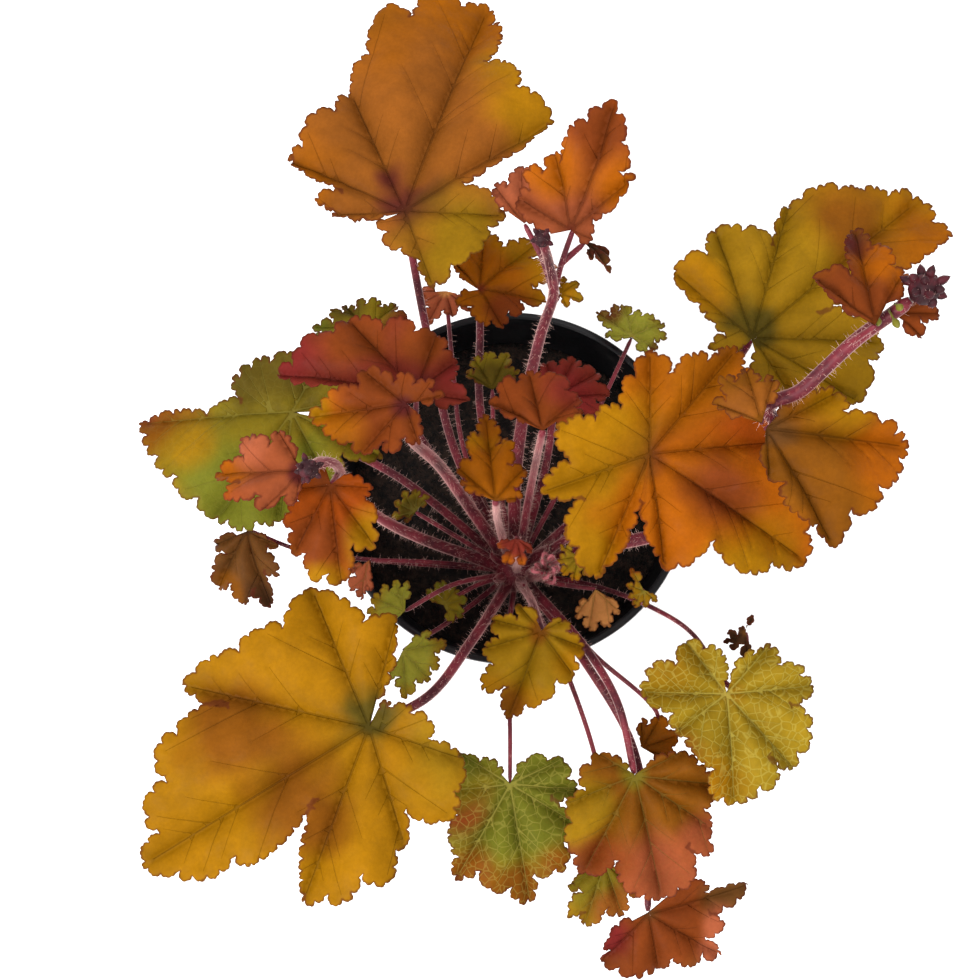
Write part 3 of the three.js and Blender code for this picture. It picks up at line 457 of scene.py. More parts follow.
# Tints of the turning leaves: greens, golds, oranges, reds and browns.
TINTS = {
    "green": "#7c7c22", "olive": "#947e1c", "dark_olive": "#665416", "yellow": "#ae8c1e",
    "mustard": "#a87c12", "gold": "#b47a08", "amber": "#b06208", "tan": "#a45e1e", "bronze": "#94560f",
    "orange": "#c06408", "deep_orange": "#a84a0c", "peach": "#ffae60", "lime": "#b0ae3a", "salmon": "#be6440",
    "terracotta": "#ac5630", "rust": "#924418", "brick": "#8e3426", "crimson": "#8e2c28",
    "maroon": "#6a2824", "brown": "#7c4e22", "dark_brown": "#4a2e1a",
}
LEAF_DEPTH = 0.52
PALE_VEIN = "#a69a48"
MARGIN_BROWN = "#4a1c10"
UNDERSIDE_PINK = "#8a3a44"
VEIN_SHADE = 0.6
VEIN_SHOWS = 0.42
WEB_SHOWS = 0.3
MARGIN_SHOWS = 0.65
LEAF_SHINE = 0.03
BODY_STARTS = (0.01, 0.15)
OUTER_STARTS = (0.5, 0.9)
PATCH_FADE = (0.4, 1.4)


@dataclass
class Leaf:
    """One blade. Its angles are in degrees and its sizes in millimetres."""
    slot: str
    heart: tuple  # where the blade meets its stalk
    heading: float  # the way it points, from +X
    tilt: tuple  # how far it leans, and the way it leans
    tones: tuple  # the tints of the heart, the body and the outer part
    bend: tuple = (1, 1, 0.5)  # how far its end droops, its parts fold up and its margin ruffles
    start: tuple = None  # the corner before the first lobe
    notch: float = 0.82  # how deep plain notches are, as a share of the lobes beside them
    pale_veins: float = 0  # how strongly the pale web of veins shows
    patches: list = ()  # turned patches: angle and distance of the middle, size, tint
    lobes: list = ()  # lobes: angle and length of the tip, then of the notch after it where it is given


LEAVES = {
    "top_amber": Leaf(
        "amber_leaf", (-34, 69, 196), 95, (8, 100), ("maroon", "tan", "amber"), bend=(8, 6, 2.5),
        start=(-252, 7),
        patches=[
            (-48, 58, 20, "gold"), (-140, 26, 22, "mustard"), (12, 76, 16, "bronze"), (72, 36, 16, "amber"),
            (-20, 40, 16, "tan"),
        ],
        lobes=[
            (-246, 10, -222, 10), (-203, 15, -190, 14), (-178, 17, -171, 18), (-166, 28, -150, 26),
            (-117, 28, -111, 27), (-98, 31, -72, 20), (-60, 57, -45, 55), (-40, 61, -30, 60),
            (-27, 79, -25, 78), (-22, 87, -17, 83), (-11, 85, -6, 71), (1, 75, 8, 58), (18, 47, 28, 42),
            (44, 43, 50, 40), (58, 42, 68, 20), (79, 28, 85, 22), (89, 23, 105, 6),
        ],
    ),
    "top_orange_upright": Leaf(
        "orange_leaf", (15, 49, 230), 48, (38, 215), ("brick", "terracotta", "deep_orange"),
        bend=(-4, 3.5, 1.5), start=(-100, 4),
        patches=[(14, 28, 9, "rust"), (50, 18, 9, "orange"), (-15, 20, 8, "orange")],
        lobes=[
            (-70, 8, -34, 8), (-16, 25, -10, 23), (-5, 30, -1, 30), (4, 36, 8, 36), (13, 38, 22, 31),
            (33, 27, 40, 19), (50, 22, 60, 18), (72, 21, 82, 17), (100, 18, 140, 6),
        ],
    ),
    "back_brown": Leaf(
        "amber_leaf", (-11, 52, 172), -59, (10, 90), ("brick", "amber", "gold"), bend=(3, 2, 1),
        start=(-120, 4),
        patches=[(110, 22, 10, "gold"), (20, 12, 8, "rust")],
        lobes=[
            (-82, 10, -55, 8), (-24, 14, -14, 12), (-2, 16, 12, 13), (26, 17, 36, 14), (50, 22, 60, 17),
            (76, 26, 90, 20), (104, 27, 122, 17), (146, 21, 168, 12), (190, 13, 212, 5),
        ],
    ),
    "right_gold": Leaf(
        "gold_leaf", (74, 31, 186), 27, (6, 45), ("dark_olive", "mustard", "gold"), bend=(5, 5.5, 2),
        start=(-124, 5),
        patches=[
            (2, 66, 18, "amber"), (22, 52, 16, "bronze"), (75, 34, 14, "mustard"), (-40, 36, 16, "mustard"),
            (-95, 28, 14, "gold"), (110, 26, 12, "gold"),
        ],
        lobes=[
            (-112, 26, -100, 22), (-86, 32, -74, 28), (-58, 39, -42, 36), (-27, 41, -14, 32),
            (-11, 31, -7, 22), (1, 75, 7, 75), (14, 79, 20, 71), (27, 64, 32, 60), (38, 58, 42, 53),
            (45, 50, 48, 32), (58, 36, 66, 35), (78, 38, 91, 30), (110, 33, 121, 20), (132, 14, 150, 9),
            (168, 15, 200, 4),
        ],
    ),
    "right_orange": Leaf(
        "orange_leaf", (39, -10, 205), -41, (6, 300), ("rust", "orange", "orange"), bend=(5, 5, 2),
        start=(-62, 15),
        patches=[
            (200, 22, 20, "gold"), (235, 34, 18, "gold"), (275, 38, 18, "gold"), (-12, 52, 20, "gold"),
            (60, 34, 16, "deep_orange"), (105, 30, 16, "amber"), (-50, 34, 12, "orange"),
            (14, 22, 12, "rust"),
        ],
        lobes=[
            (-42, 34, -16, 31), (-9, 46, -1, 48), (8, 57, 15, 52), (23, 47, 33, 38), (47, 39, 60, 35),
            (78, 38, 84, 38), (91, 42, 99, 33), (107, 32, 116, 24), (130, 31, 143, 24), (154, 21, 164, 16),
            (182, 20, 190, 19), (208, 29, 226, 24), (241, 34, 254, 24), (264, 35, 272, 36),
            (288, 40, 298, 14),
        ],
    ),
    "right_bract": Leaf(
        "amber_leaf", (67, -10, 236), -4, (12, 320), ("brown", "bronze", "amber"), bend=(4, 4, 1.5),
        start=(-108, 4),
        patches=[(-10, 36, 12, "orange"), (-50, 32, 12, "bronze"), (28, 22, 9, "gold")],
        lobes=[
            (-84, 14, -76, 15), (-66, 26, -59, 29), (-54, 37, -40, 32), (-28, 37, -22, 35),
            (-11, 41, -6, 40), (0, 43, 5, 38), (10, 31, 17, 22), (32, 23, 43, 17), (50, 13, 57, 4),
        ],
    ),
    "right_small_bract": Leaf(
        "amber_leaf", (64, -10, 244), 121, (15, 130), ("bronze", "tan", "bronze"),
        lobes=[(-48, 14), (-20, 17), (5, 17), (32, 14)],
    ),
    "bud_bract_up": Leaf(
        "amber_leaf", (89, 10, 266), 90, (25, 100), ("rust", "rust", "bronze"), bend=(1, 2, 0.5),
        start=(-40, 7),
        patches=[(-15, 20, 8, "orange"), (8, 28, 6, "maroon")],
        lobes=[(-30, 20, -22, 19), (-11, 27, -6, 25), (0, 34, 14, 16), (40, 21, 60, 4)],
    ),
    "bud_bract_low": Leaf(
        "amber_leaf", (97, 16, 256), 6, (20, 320), ("maroon", "rust", "rust"), start=(-60, 3),
        lobes=[(-38, 11, -20, 7), (-2, 14, 30, 4)],
    ),
    "left_red": Leaf(
        "red_leaf", (-29, 6, 214), 139, (8, 120), ("maroon", "brick", "brick"), bend=(4, 4, 1.5),
        start=(-177, 6),
        patches=[
            (-120, 16, 8, "crimson"), (-60, 16, 8, "rust"), (26, 40, 8, "crimson"),
            (0, 24, 10, "rust"),
        ],
        lobes=[
            (-150, 16, -128, 11), (-99, 15, -86, 15), (-66, 19, -50, 18), (-33, 23, -24, 22),
            (-8, 32, 3, 31), (20, 38, 25, 38), (30, 43, 36, 22), (48, 21, 60, 7),
        ],
    ),
    "left_orange_front": Leaf(
        "orange_leaf", (-31, -1, 228), -177, (10, 225), ("maroon", "rust", "orange"), bend=(2, 2, 1),
        start=(-190, 4),
        patches=[(19, 21, 7, "amber"), (-3, 26, 5, "gold")],
        lobes=[
            (-172, 11, -160, 8), (-145, 10, -124, 6), (-94, 9, -72, 7), (-42, 16, -26, 14),
            (-8, 23, -4, 24), (3, 28, 10, 24), (20, 23, 32, 19), (44, 19, 56, 12), (68, 15, 84, 10),
            (104, 12, 140, 4),
        ],
    ),
    "left_bract_low": Leaf(
        "orange_leaf", (-53, -21, 214), -105, (12, 250), ("rust", "deep_orange", "amber"), bend=(3, 2, 1),
        start=(-150, 6),
        patches=[(0, 18, 9, "rust"), (55, 20, 8, "gold"), (8, 28, 6, "gold")],
        lobes=[
            (-68, 12, -52, 10), (-32, 17, -26, 17), (-14, 23, -7, 21), (5, 28, 11, 26), (20, 29, 34, 19),
            (50, 22, 62, 17), (72, 16, 84, 11), (100, 12, 140, 5),
        ],
    ),
    "left_bract_tip": Leaf(
        "orange_leaf", (-59, -20, 230), 176, (28, 160), ("maroon", "terracotta", "deep_orange"),
        bend=(1, 2, 1), start=(-60, 4),
        patches=[(0, 26, 8, "orange"), (-25, 20, 7, "salmon")],
        lobes=[
            (-48, 16, -36, 13), (-22, 24, -12, 20), (0, 30, 8, 20), (20, 24, 34, 14), (48, 16, 62, 9),
            (84, 10, 110, 3),
        ],
    ),
    "left_olive": Leaf(
        "olive_leaf", (-72, 13, 164), 172, (8, 180), ("dark_olive", "olive", "mustard"), bend=(6, 4.5, 2),
        pale_veins=0.3, start=(-178, 18),
        patches=[
            (5, 45, 14, "bronze"), (0, 54, 8, "brick"), (52, 34, 18, "green"), (85, 34, 16, "green"),
            (125, 26, 14, "green"), (160, 28, 12, "olive"), (-40, 18, 14, "dark_olive"),
            (25, 34, 10, "mustard"), (-85, 18, 16, "dark_olive"),
        ],
        lobes=[
            (-160, 28, -140, 18), (-110, 24, -92, 17), (-74, 20, -62, 18), (-50, 21, -42, 20),
            (-34, 22, -28, 21), (-20, 23, -7, 17), (1, 26, 5, 29), (9, 54, 14, 51), (19, 51, 24, 48),
            (31, 47, 37, 43), (44, 45, 50, 42), (62, 43, 68, 41), (76, 42, 82, 38), (92, 36, 112, 25),
            (126, 32, 146, 24), (160, 34, 172, 18),
        ],
    ),
    "back_left_olive": Leaf(
        "olive_leaf", (-49, 45, 150), 87, (12, 110), ("dark_olive", "olive", "green"), bend=(3, 2, 1),
        notch=0.8,
        patches=[(-90, 14, 12, "brick"), (40, 12, 8, "dark_olive")],
        lobes=[
            (-96, 15), (-68, 15), (-38, 14), (-10, 12), (20, 12), (42, 14), (62, 16), (82, 20), (100, 20),
        ],
    ),
    "left_brown": Leaf(
        "brown_leaf", (-91, -21, 132), -72, (25, 230), ("dark_brown", "brown", "dark_brown"), bend=(4, 3, 1),
        start=(-98, 4),
        patches=[(-40, 22, 7, "bronze")],
        lobes=[
            (-84, 14, -68, 11), (-50, 26, -38, 20), (-21, 26, -14, 20), (-4, 28, 8, 15), (22, 19, 34, 10),
            (50, 12, 63, 4),
        ],
    ),
    "front_left_gold": Leaf(
        "gold_leaf", (-44, -88, 178), -149, (5, 230), ("dark_olive", "gold", "gold"), bend=(8, 6, 2.5),
        start=(-145, 8),
        patches=[
            (0, 50, 22, "gold"), (-32, 40, 16, "bronze"), (-80, 34, 18, "gold"), (12, 30, 16, "bronze"),
            (50, 44, 14, "gold"), (30, 30, 10, "bronze"), (130, 24, 14, "mustard"), (-125, 28, 14, "gold"),
        ],
        lobes=[
            (-135, 34, -120, 32), (-97, 46, -81, 40), (-73, 44, -62, 46), (-43, 60, -40, 43),
            (-33, 57, -30, 58), (-24, 65, -17, 63), (-9, 73, -5, 71), (0, 82, 6, 73), (10, 69, 13, 56),
            (19, 53, 22, 26), (38, 56, 45, 51), (51, 52, 57, 43), (67, 46, 72, 38), (76, 37, 83, 27),
            (103, 37, 113, 33), (130, 30, 137, 19), (157, 19, 166, 14), (176, 14, 190, 9),
            (204, 10, 212, 6),
        ],
    ),
    "front_green_a": Leaf(
        "olive_leaf", (-37, -48, 128), 162, (10, 200), ("lime", "lime", "yellow"), pale_veins=0.5,
        lobes=[(-80, 10), (-54, 11), (-30, 12), (-5, 13), (20, 13), (48, 12)],
    ),
    "front_green_b": Leaf(
        "olive_leaf", (-38, -61, 120), -61, (12, 250), ("lime", "lime", "yellow"), pale_veins=0.5,
        lobes=[(-58, 11), (-25, 17), (14, 14), (40, 14), (72, 16), (96, 12)],
    ),
    "front_green_c": Leaf(
        "olive_leaf", (-24, -45, 118), 46, (10, 250), ("dark_olive", "olive", "green"), pale_veins=0.3,
        lobes=[(-111, 7), (-75, 8), (-30, 8), (8, 8), (50, 9), (95, 8)],
    ),
    "centre_gold": Leaf(
        "gold_leaf", (-6, -19, 180), 94, (20, 95), ("bronze", "amber", "gold"), bend=(2, 2, 1),
        start=(-110, 3),
        patches=[(0, 28, 8, "amber")],
        lobes=[
            (-90, 8, -66, 7), (-42, 15, -28, 12), (-14, 22, -8, 19), (2, 32, 9, 24), (16, 24, 24, 16),
            (41, 17, 50, 12), (60, 12, 70, 4),
        ],
    ),
    "centre_red": Leaf(
        "red_leaf", (1, -28, 160), -100, (20, 265), ("maroon", "brick", "orange"), notch=0.66,
        lobes=[(-60, 7), (-12, 10), (22, 9), (60, 7)],
    ),
    "left_small_green": Leaf(
        "olive_leaf", (-33, -16, 142), -175, (12, 180), ("dark_olive", "dark_olive", "olive"),
        bend=(1, 1, 0.3), pale_veins=0.3, notch=0.75,
        lobes=[(-140, 7), (-100, 8), (-64, 8), (-32, 8), (6, 8), (40, 5)],
    ),
    "front_gold": Leaf(
        "gold_leaf", (9, -57, 152), -113, (12, 270), ("bronze", "mustard", "gold"), bend=(3, 4, 1.5),
        start=(-150, 4),
        patches=[(-60, 18, 10, "mustard"), (0, 26, 8, "bronze"), (70, 16, 8, "gold")],
        lobes=[
            (-116, 12, -100, 9), (-80, 17, -62, 14), (-50, 20, -36, 19), (-23, 27, -12, 21),
            (2, 31, 10, 25), (20, 24, 38, 17), (58, 18, 74, 14), (91, 15, 112, 9), (138, 9, 160, 4),
        ],
    ),
    "front_green_orange": Leaf(
        "olive_leaf", (-1, -106, 128), -64, (14, 270), ("green", "green", "olive"), bend=(3, 4, 1.5),
        pale_veins=0.8, start=(-178, 4),
        patches=[
            (-50, 34, 12, "bronze"), (-18, 36, 12, "bronze"), (-90, 18, 10, "rust"),
            (-120, 16, 10, "olive"), (5, 32, 9, "bronze"), (60, 16, 14, "green"), (-145, 18, 8, "green"),
        ],
        lobes=[
            (-165, 13, -158, 13), (-147, 20, -130, 18), (-108, 21, -90, 20), (-70, 28, -62, 30),
            (-54, 38, -46, 31), (-34, 36, -26, 35), (-16, 42, -11, 32), (-2, 33, 2, 32), (7, 34, 18, 27),
            (33, 25, 47, 14), (60, 23, 72, 20), (90, 20, 100, 16), (120, 13, 128, 4),
        ],
    ),
    "front_orange_brown": Leaf(
        "amber_leaf", (40, -103, 136), -79, (14, 275), ("olive", "bronze", "terracotta"), bend=(3, 4, 1.5),
        pale_veins=0.2, start=(-156, 3),
        patches=[
            (0, 30, 14, "terracotta"), (-70, 22, 12, "mustard"), (-30, 30, 9, "rust"),
            (35, 32, 10, "terracotta"), (80, 22, 10, "bronze"),
        ],
        lobes=[
            (-132, 15, -120, 16), (-106, 19, -88, 17), (-78, 25, -68, 26), (-55, 32, -48, 33),
            (-37, 38, -24, 28), (-12, 39, -7, 40), (2, 43, 10, 41), (19, 39, 26, 28), (33, 36, 38, 33),
            (44, 31, 54, 25), (72, 26, 92, 21), (106, 18, 120, 4),
        ],
    ),
    "front_brown_under": Leaf(
        "brown_leaf", (44, -94, 122), 39, (12, 300), ("bronze", "bronze", "amber"), notch=0.85,
        lobes=[(-62, 13), (-22, 13), (18, 13), (52, 10)],
    ),
    "front_bottom_brown": Leaf(
        "brown_leaf", (46, -149, 114), -48, (18, 280), ("brown", "rust", "brown"), bend=(3, 3, 1.5),
        start=(-120, 6),
        patches=[
            (-100, 16, 8, "crimson"), (-60, 22, 7, "rust"), (18, 28, 7, "salmon"), (60, 28, 10, "brown"),
            (40, 24, 6, "salmon"),
        ],
        lobes=[
            (-96, 19, -88, 18), (-82, 24, -70, 22), (-56, 22, -44, 20), (-30, 20, -14, 17), (4, 24, 10, 23),
            (17, 30, 25, 21), (42, 26, 50, 20), (62, 36, 70, 21), (84, 22, 98, 9),
        ],
    ),
    "front_bottom_yellow": Leaf(
        "olive_leaf", (31, -132, 120), -101, (18, 265), ("olive", "olive", "mustard"), bend=(2, 2, 0.5),
        pale_veins=0.3, notch=0.8,
        patches=[(20, 18, 8, "tan"), (60, 16, 8, "tan")],
        lobes=[(-45, 15), (-22, 23), (-6, 24), (28, 20), (60, 16)],
    ),
    "front_right_gold": Leaf(
        "gold_leaf", (69, -77, 148), -84, (8, 290), ("mustard", "yellow", "yellow"), bend=(3, 4, 1.5),
        pale_veins=1, start=(-183, 4),
        patches=[
            (-20, 32, 12, "gold"), (-50, 26, 10, "bronze"), (60, 26, 12, "yellow"),
            (-120, 22, 12, "mustard"),
        ],
        lobes=[
            (-172, 16, -160, 17), (-148, 22, -127, 20), (-117, 27, -107, 27), (-97, 28, -80, 20),
            (-60, 21, -52, 20), (-36, 22, -20, 24), (-14, 34, -9, 34), (-1, 36, 12, 32), (24, 32, 27, 23),
            (36, 33, 43, 30), (53, 31, 60, 28), (68, 28, 74, 20), (89, 29, 98, 25), (106, 25, 114, 19),
            (131, 22, 139, 16), (147, 16, 158, 4),
        ],
    ),
    "front_peach": Leaf(
        "orange_leaf", (29, -40, 122), -87, (15, 270), ("peach", "peach", "peach"), pale_veins=0.4,
        lobes=[(-40, 12), (-12, 15), (18, 14), (44, 12)],
    ),
    "front_lime": Leaf(
        "olive_leaf", (45, -41, 129), -136, (15, 300), ("olive", "mustard", "amber"), bend=(0.5, 0.5, 0.3),
        pale_veins=0.4, notch=0.7,
        lobes=[(-104, 9), (-62, 6), (-18, 6), (15, 7), (52, 6), (96, 6)],
    ),
    "centre_brown": Leaf(
        "brown_leaf", (8, -1, 198), 101, (15, 100), ("rust", "rust", "rust"), bend=(2, 2, 0.5),
        start=(-92, 4),
        patches=[(-40, 16, 8, "brick")],
        lobes=[
            (-80, 13, -70, 12), (-56, 16, -44, 15), (-24, 20, -12, 18), (0, 21, 12, 18), (26, 21, 36, 18),
            (47, 19, 60, 5),
        ],
    ),
    "back_red": Leaf(
        "red_leaf", (14, 21, 150), 46, (15, 90), ("maroon", "crimson", "brick"), bend=(2, 2, 0.5),
        lobes=[(-66, 17), (-38, 19), (-10, 19), (20, 18), (52, 15), (84, 14)],
    ),
    "back_centre_olive": Leaf(
        "olive_leaf", (-7, 22, 160), 116, (15, 100), ("dark_olive", "dark_olive", "olive"), notch=0.78,
        lobes=[(-80, 11), (-46, 15), (-20, 14), (2, 14), (30, 11)],
    ),
    "left_pink": Leaf(
        "pink_leaf", (-50, -30, 124), -120, (35, 200), ("salmon", "salmon", "salmon"), pale_veins=0.2,
        lobes=[(-30, 9), (-6, 14), (14, 15), (38, 11)],
    ),
    "centre_yellow": Leaf(
        "gold_leaf", (22, -31, 142), -131, (20, 0), ("yellow", "yellow", "gold"), bend=(0.5, 0.5, 0.3),
        notch=0.75,
        lobes=[(-76, 7), (-34, 8), (0, 9), (30, 9), (70, 7)],
    ),
    "back_pink": Leaf(
        "pink_leaf", (-23, 62, 142), -105, (15, 100), ("peach", "salmon", "salmon"), notch=0.8,
        lobes=[(-76, 10), (-46, 11), (-12, 15), (28, 11), (62, 12)],
    ),
    "top_pink_under": Leaf(
        "pink_leaf", (2, 56, 219), 98, (20, 150), ("brick", "terracotta", "brick"),
        patches=[(0, 14, 8, "salmon")],
        lobes=[(-62, 15), (-34, 18), (-6, 20), (24, 17)],
    ),
    "back_olive": Leaf(
        "olive_leaf", (44, 53, 118), 7, (12, 60), ("yellow", "lime", "olive"), pale_veins=0.7, notch=0.8,
        patches=[(120, 12, 5, "brown"), (-40, 10, 4, "brown")],
        lobes=[
            (-66, 9), (-34, 10), (-8, 13), (20, 14), (42, 12), (68, 11), (92, 14), (112, 14), (136, 16),
            (176, 10),
        ],
    ),
    "stem_yellow_bract": Leaf(
        "gold_leaf", (13, 38, 208), 15, (10, 60), ("mustard", "gold", "mustard"), bend=(0.5, 0.5, 0.3),
        notch=0.75,
        lobes=[(-80, 5), (-30, 7), (20, 7), (60, 6)],
    ),
    "dry_bract": Leaf(
        "dry_leaf", (20, 49, 222), -55, (30, 40), ("dark_brown", "dark_brown", "brown"), notch=0.6,
        lobes=[(-30, 7), (0, 12), (30, 8)],
    ),
    "front_right_dry": Leaf(
        "dry_leaf", (76, -57, 146), 190, (20, 200), ("brown", "dark_brown", "dark_brown"), start=(-140, 2),
        lobes=[
            (-125, 6, -112, 2), (-65, 2.2, -20, 2.2), (-8, 6, 2, 5.5), (14, 8, 22, 6), (38, 7, 58, 4),
            (82, 9, 97, 2),
        ],
    ),
}


def on_blade(angle, distance):
    """A point in the plane of a blade, from an angle in degrees and a distance in millimetres."""
    return distance * np.array((math.cos(math.radians(angle)), math.sin(math.radians(angle))))


def lobe_corners(leaf):
    """Each lobe as three points in the blade's plane: the notch before it, its tip, the notch after."""
    lobes = leaf.lobes
    last = len(lobes) - 1

    def half_way(one, other):
        return min(WIDEST_BASE, abs(lobes[one][0] - lobes[other][0]) / 2)

    before = leaf.start or (lobes[0][0] - half_way(0, 1), BASE_SHARE * lobes[0][1])
    corners = []
    for i, (angle, length, *notch) in enumerate(lobes):
        if notch:
            after = tuple(notch)
        elif i < last:
            following = lobes[i + 1]
            after = ((following[0] + angle) / 2, leaf.notch * min(following[1], length))
        else:
            after = (angle + half_way(last, last - 1), BASE_SHARE * length)
        corners.append((on_blade(*before), on_blade(angle, length), on_blade(*after)))
        before = after
    return corners


def bowed(start, end):
    """Points of a shallow arc from one corner towards the next, bowed outwards."""
    way = end - start
    share = np.linspace(0, 1, BOW_STEPS, endpoint=False)[:, None]
    outward = np.array((way[1], -way[0]))
    bow = LOBE_BOW * min(1, BOW_REACH / np.linalg.norm(way))
    return start + way * share + outward * bow * 4 * share * (1 - share)


def toothed_margin(leaf, random):
    """The closed margin of a blade: bowed lobes with uneven teeth, and the heart between them."""
    margin = []
    for before, tip, after in lobe_corners(leaf):
        line = np.vstack([bowed(before, tip), bowed(tip, after), after])
        lengths = np.linalg.norm(np.diff(line, axis=0), axis=1)
        along = np.concatenate([[0], np.cumsum(lengths)])
        pitch = TOOTH_PITCH * random.uniform(*TOOTH_PITCHES)
        teeth = max(1, round(along[-1] / pitch))
        ends = np.linspace(0, 1, teeth + 1)
        ends[1:-1] += random.uniform(-TOOTH_PLAY, TOOTH_PLAY, teeth - 1) / teeth
        places = []
        rises = []
        for start, end in zip(ends, ends[1:]):
            width = along[-1] * (end - start)
            part = np.arange(max(FEWEST_STEPS, round(width / MARGIN_STEP)))
            part = part / len(part)
            lean = random.uniform(*TOOTH_LEANS)
            point = random.uniform(*TOOTH_POINTS)
            depth = TOOTH_DEPTH * min(1, width / TOOTH_PITCH) * random.uniform(*TOOTH_DEPTHS)
            places.append(along[-1] * (start + (end - start) * part))
            fine = np.abs(2 * (part * max(1, round(width / FINE_TOOTH_PITCH)) % 1) - 1)
            tooth = depth * (TOOTH_MIDDLE - np.abs(2 * part ** lean - 1) ** point)
            rises.append(tooth - FINE_TOOTH_DEPTH * fine ** 2)
        places = np.concatenate(places)
        rise = np.concatenate(rises)
        points = np.stack([np.interp(places, along, line[:, k]) for k in range(2)], axis=1)
        way = np.gradient(points, axis=0)
        way /= np.linalg.norm(way, axis=1, keepdims=True) + 1e-9
        margin.append(points + np.stack([way[:, 1], -way[:, 0]], axis=1) * rise[:, None])
    margin.append(np.array([after, (0, 0)]))
    return np.vstack(margin)


def main_veins(lobes, reach):
    """The lobes that a main vein runs to: the longest ones that stand well apart."""
    wanted = MOST_VEINS if reach > BIG_BLADE else FEWER_VEINS
    chosen = []
    while len(chosen) < min(wanted, len(lobes)):
        def standing(lobe):
            apart = min((abs(lobe[0] - other[0]) for other in chosen), default=90)
            return lobe[1] * min(1, apart / VEIN_SPREAD) if apart > VEIN_APART else 0
        best = max(lobes, key=standing)
        if standing(best) == 0:
            break
        chosen.append(best)
    return sorted(chosen)


def vein_lines(lobes, veins):
    """Vein segments: one main vein to each chosen lobe, side veins to the lobes beside it, and twigs."""
    lines = []
    for angle, length, *_ in lobes:
        tip = on_blade(angle, VEIN_REACH * length)
        main = min(veins, key=lambda vein: abs(vein[0] - angle))
        if main[0] == angle:
            lines.append((np.zeros(2), tip, MAIN_VEIN, MAIN_VEIN_TIP))
            continue
        if abs(main[0] - angle) < SIDE_VEIN_APART:
            continue
        direction = on_blade(main[0], 1)
        forward = tip @ direction
        aside = np.linalg.norm(tip - forward * direction)
        fork = min(max(forward - 1.2 * aside, LOWEST_FORK * main[1]), HIGHEST_FORK * main[1])
        lines.append((direction * fork, tip, SIDE_VEIN, SIDE_VEIN_TIP))
    for angle, length, *_ in veins:
        for share in TWIG_FORKS:
            for side in (-TWIG_LEAN, TWIG_LEAN):
                fork = on_blade(angle, share * length)
                twig = on_blade(angle + side, TWIG_LENGTH * (1.05 - share) * length)
                outer = fork + twig * np.array([[0.6], [1.0]])
                if away_from_veins(outer, lines).min() > TWIG_ROOM:
                    lines.append((fork, fork + twig, 0.6 * SIDE_VEIN, SIDE_VEIN_TIP))
    return lines


def distance_to_veins(points, lines):
    """Distance to the nearest main vein, and to any vein as a multiple of its half width there."""
    main = np.full(len(points), FAR_AWAY)
    scaled = main
    for start, end, half_width, at_tip in lines:
        along = end - start
        share = np.clip(((points - start) @ along) / (along @ along), 0, 1)
        away = np.linalg.norm(points - start - share[:, None] * along, axis=1)
        if half_width == MAIN_VEIN:
            main = np.minimum(main, away)
        scaled = np.minimum(scaled, away / (half_width * (1 - (1 - at_tip) * share)))
    return main, scaled


def away_from_veins(points, lines):
    return distance_to_veins(points, [(start, end, 1, 1) for start, end, *_ in lines])[1]


def blade_axes(leaf):
    """The way a blade points, the way to its left, and the way its face looks."""
    lean = math.radians(leaf.tilt[0])
    normal = np.append(math.sin(lean) * on_blade(leaf.tilt[1], 1), math.cos(lean))
    x, y = on_blade(leaf.heading, 1)
    along = np.array((x, y, -(normal[0] * x + normal[1] * y) / normal[2]))
    along /= np.linalg.norm(along)
    return along, np.cross(normal, along), normal


def smooth_step(value, low, high):
    share = np.clip((value - low) / (high - low), 0, 1)
    return share * share * (3 - 2 * share)


def blade_tones(leaf, flat, out, seed):
    """Linear colours over a blade: heart, body and outer tints, then the patches that turned."""
    x, y = flat.T / TONE_WANDER_WIDTH
    wander = smooth_random(x, y, seed)
    heart, *others = (np.array(colour(TINTS[name])[:3]) for name in leaf.tones)
    tone = np.tile(heart, (len(flat), 1))
    for tint, (low, high) in zip(others, (BODY_STARTS, OUTER_STARTS)):
        tone = tone + (tint - tone) * smooth_step(out + 0.12 * wander, low, high)[:, None]
    for angle, distance, size, name in leaf.patches:
        away = np.linalg.norm(flat - on_blade(angle, distance), axis=1) / size + 0.3 * wander
        share = 1 - smooth_step(away, *PATCH_FADE)[:, None]
        tone = tone + (np.array(colour(TINTS[name])[:3]) - tone) * share
    return LEAF_DEPTH * tone


def within(points, outline):
    """Which of the points lie inside a closed outline."""
    x, y = points.T
    inside = np.zeros(len(points), bool)
    for (ax, ay), (bx, by) in zip(outline, np.roll(outline, -1, axis=0)):
        crossed = (ay > y) != (by > y)
        inside ^= crossed & (x < ax + (bx - ax) * (y - ay) / (by - ay + 1e-12))
    return inside


def margin_distance(points, margin):
    tree = KDTree(len(margin))
    for i, (x, y) in enumerate(margin):
        tree.insert((x, y, 0), i)
    tree.balance()
    return np.array([tree.find((x, y, 0))[2] for x, y in points])


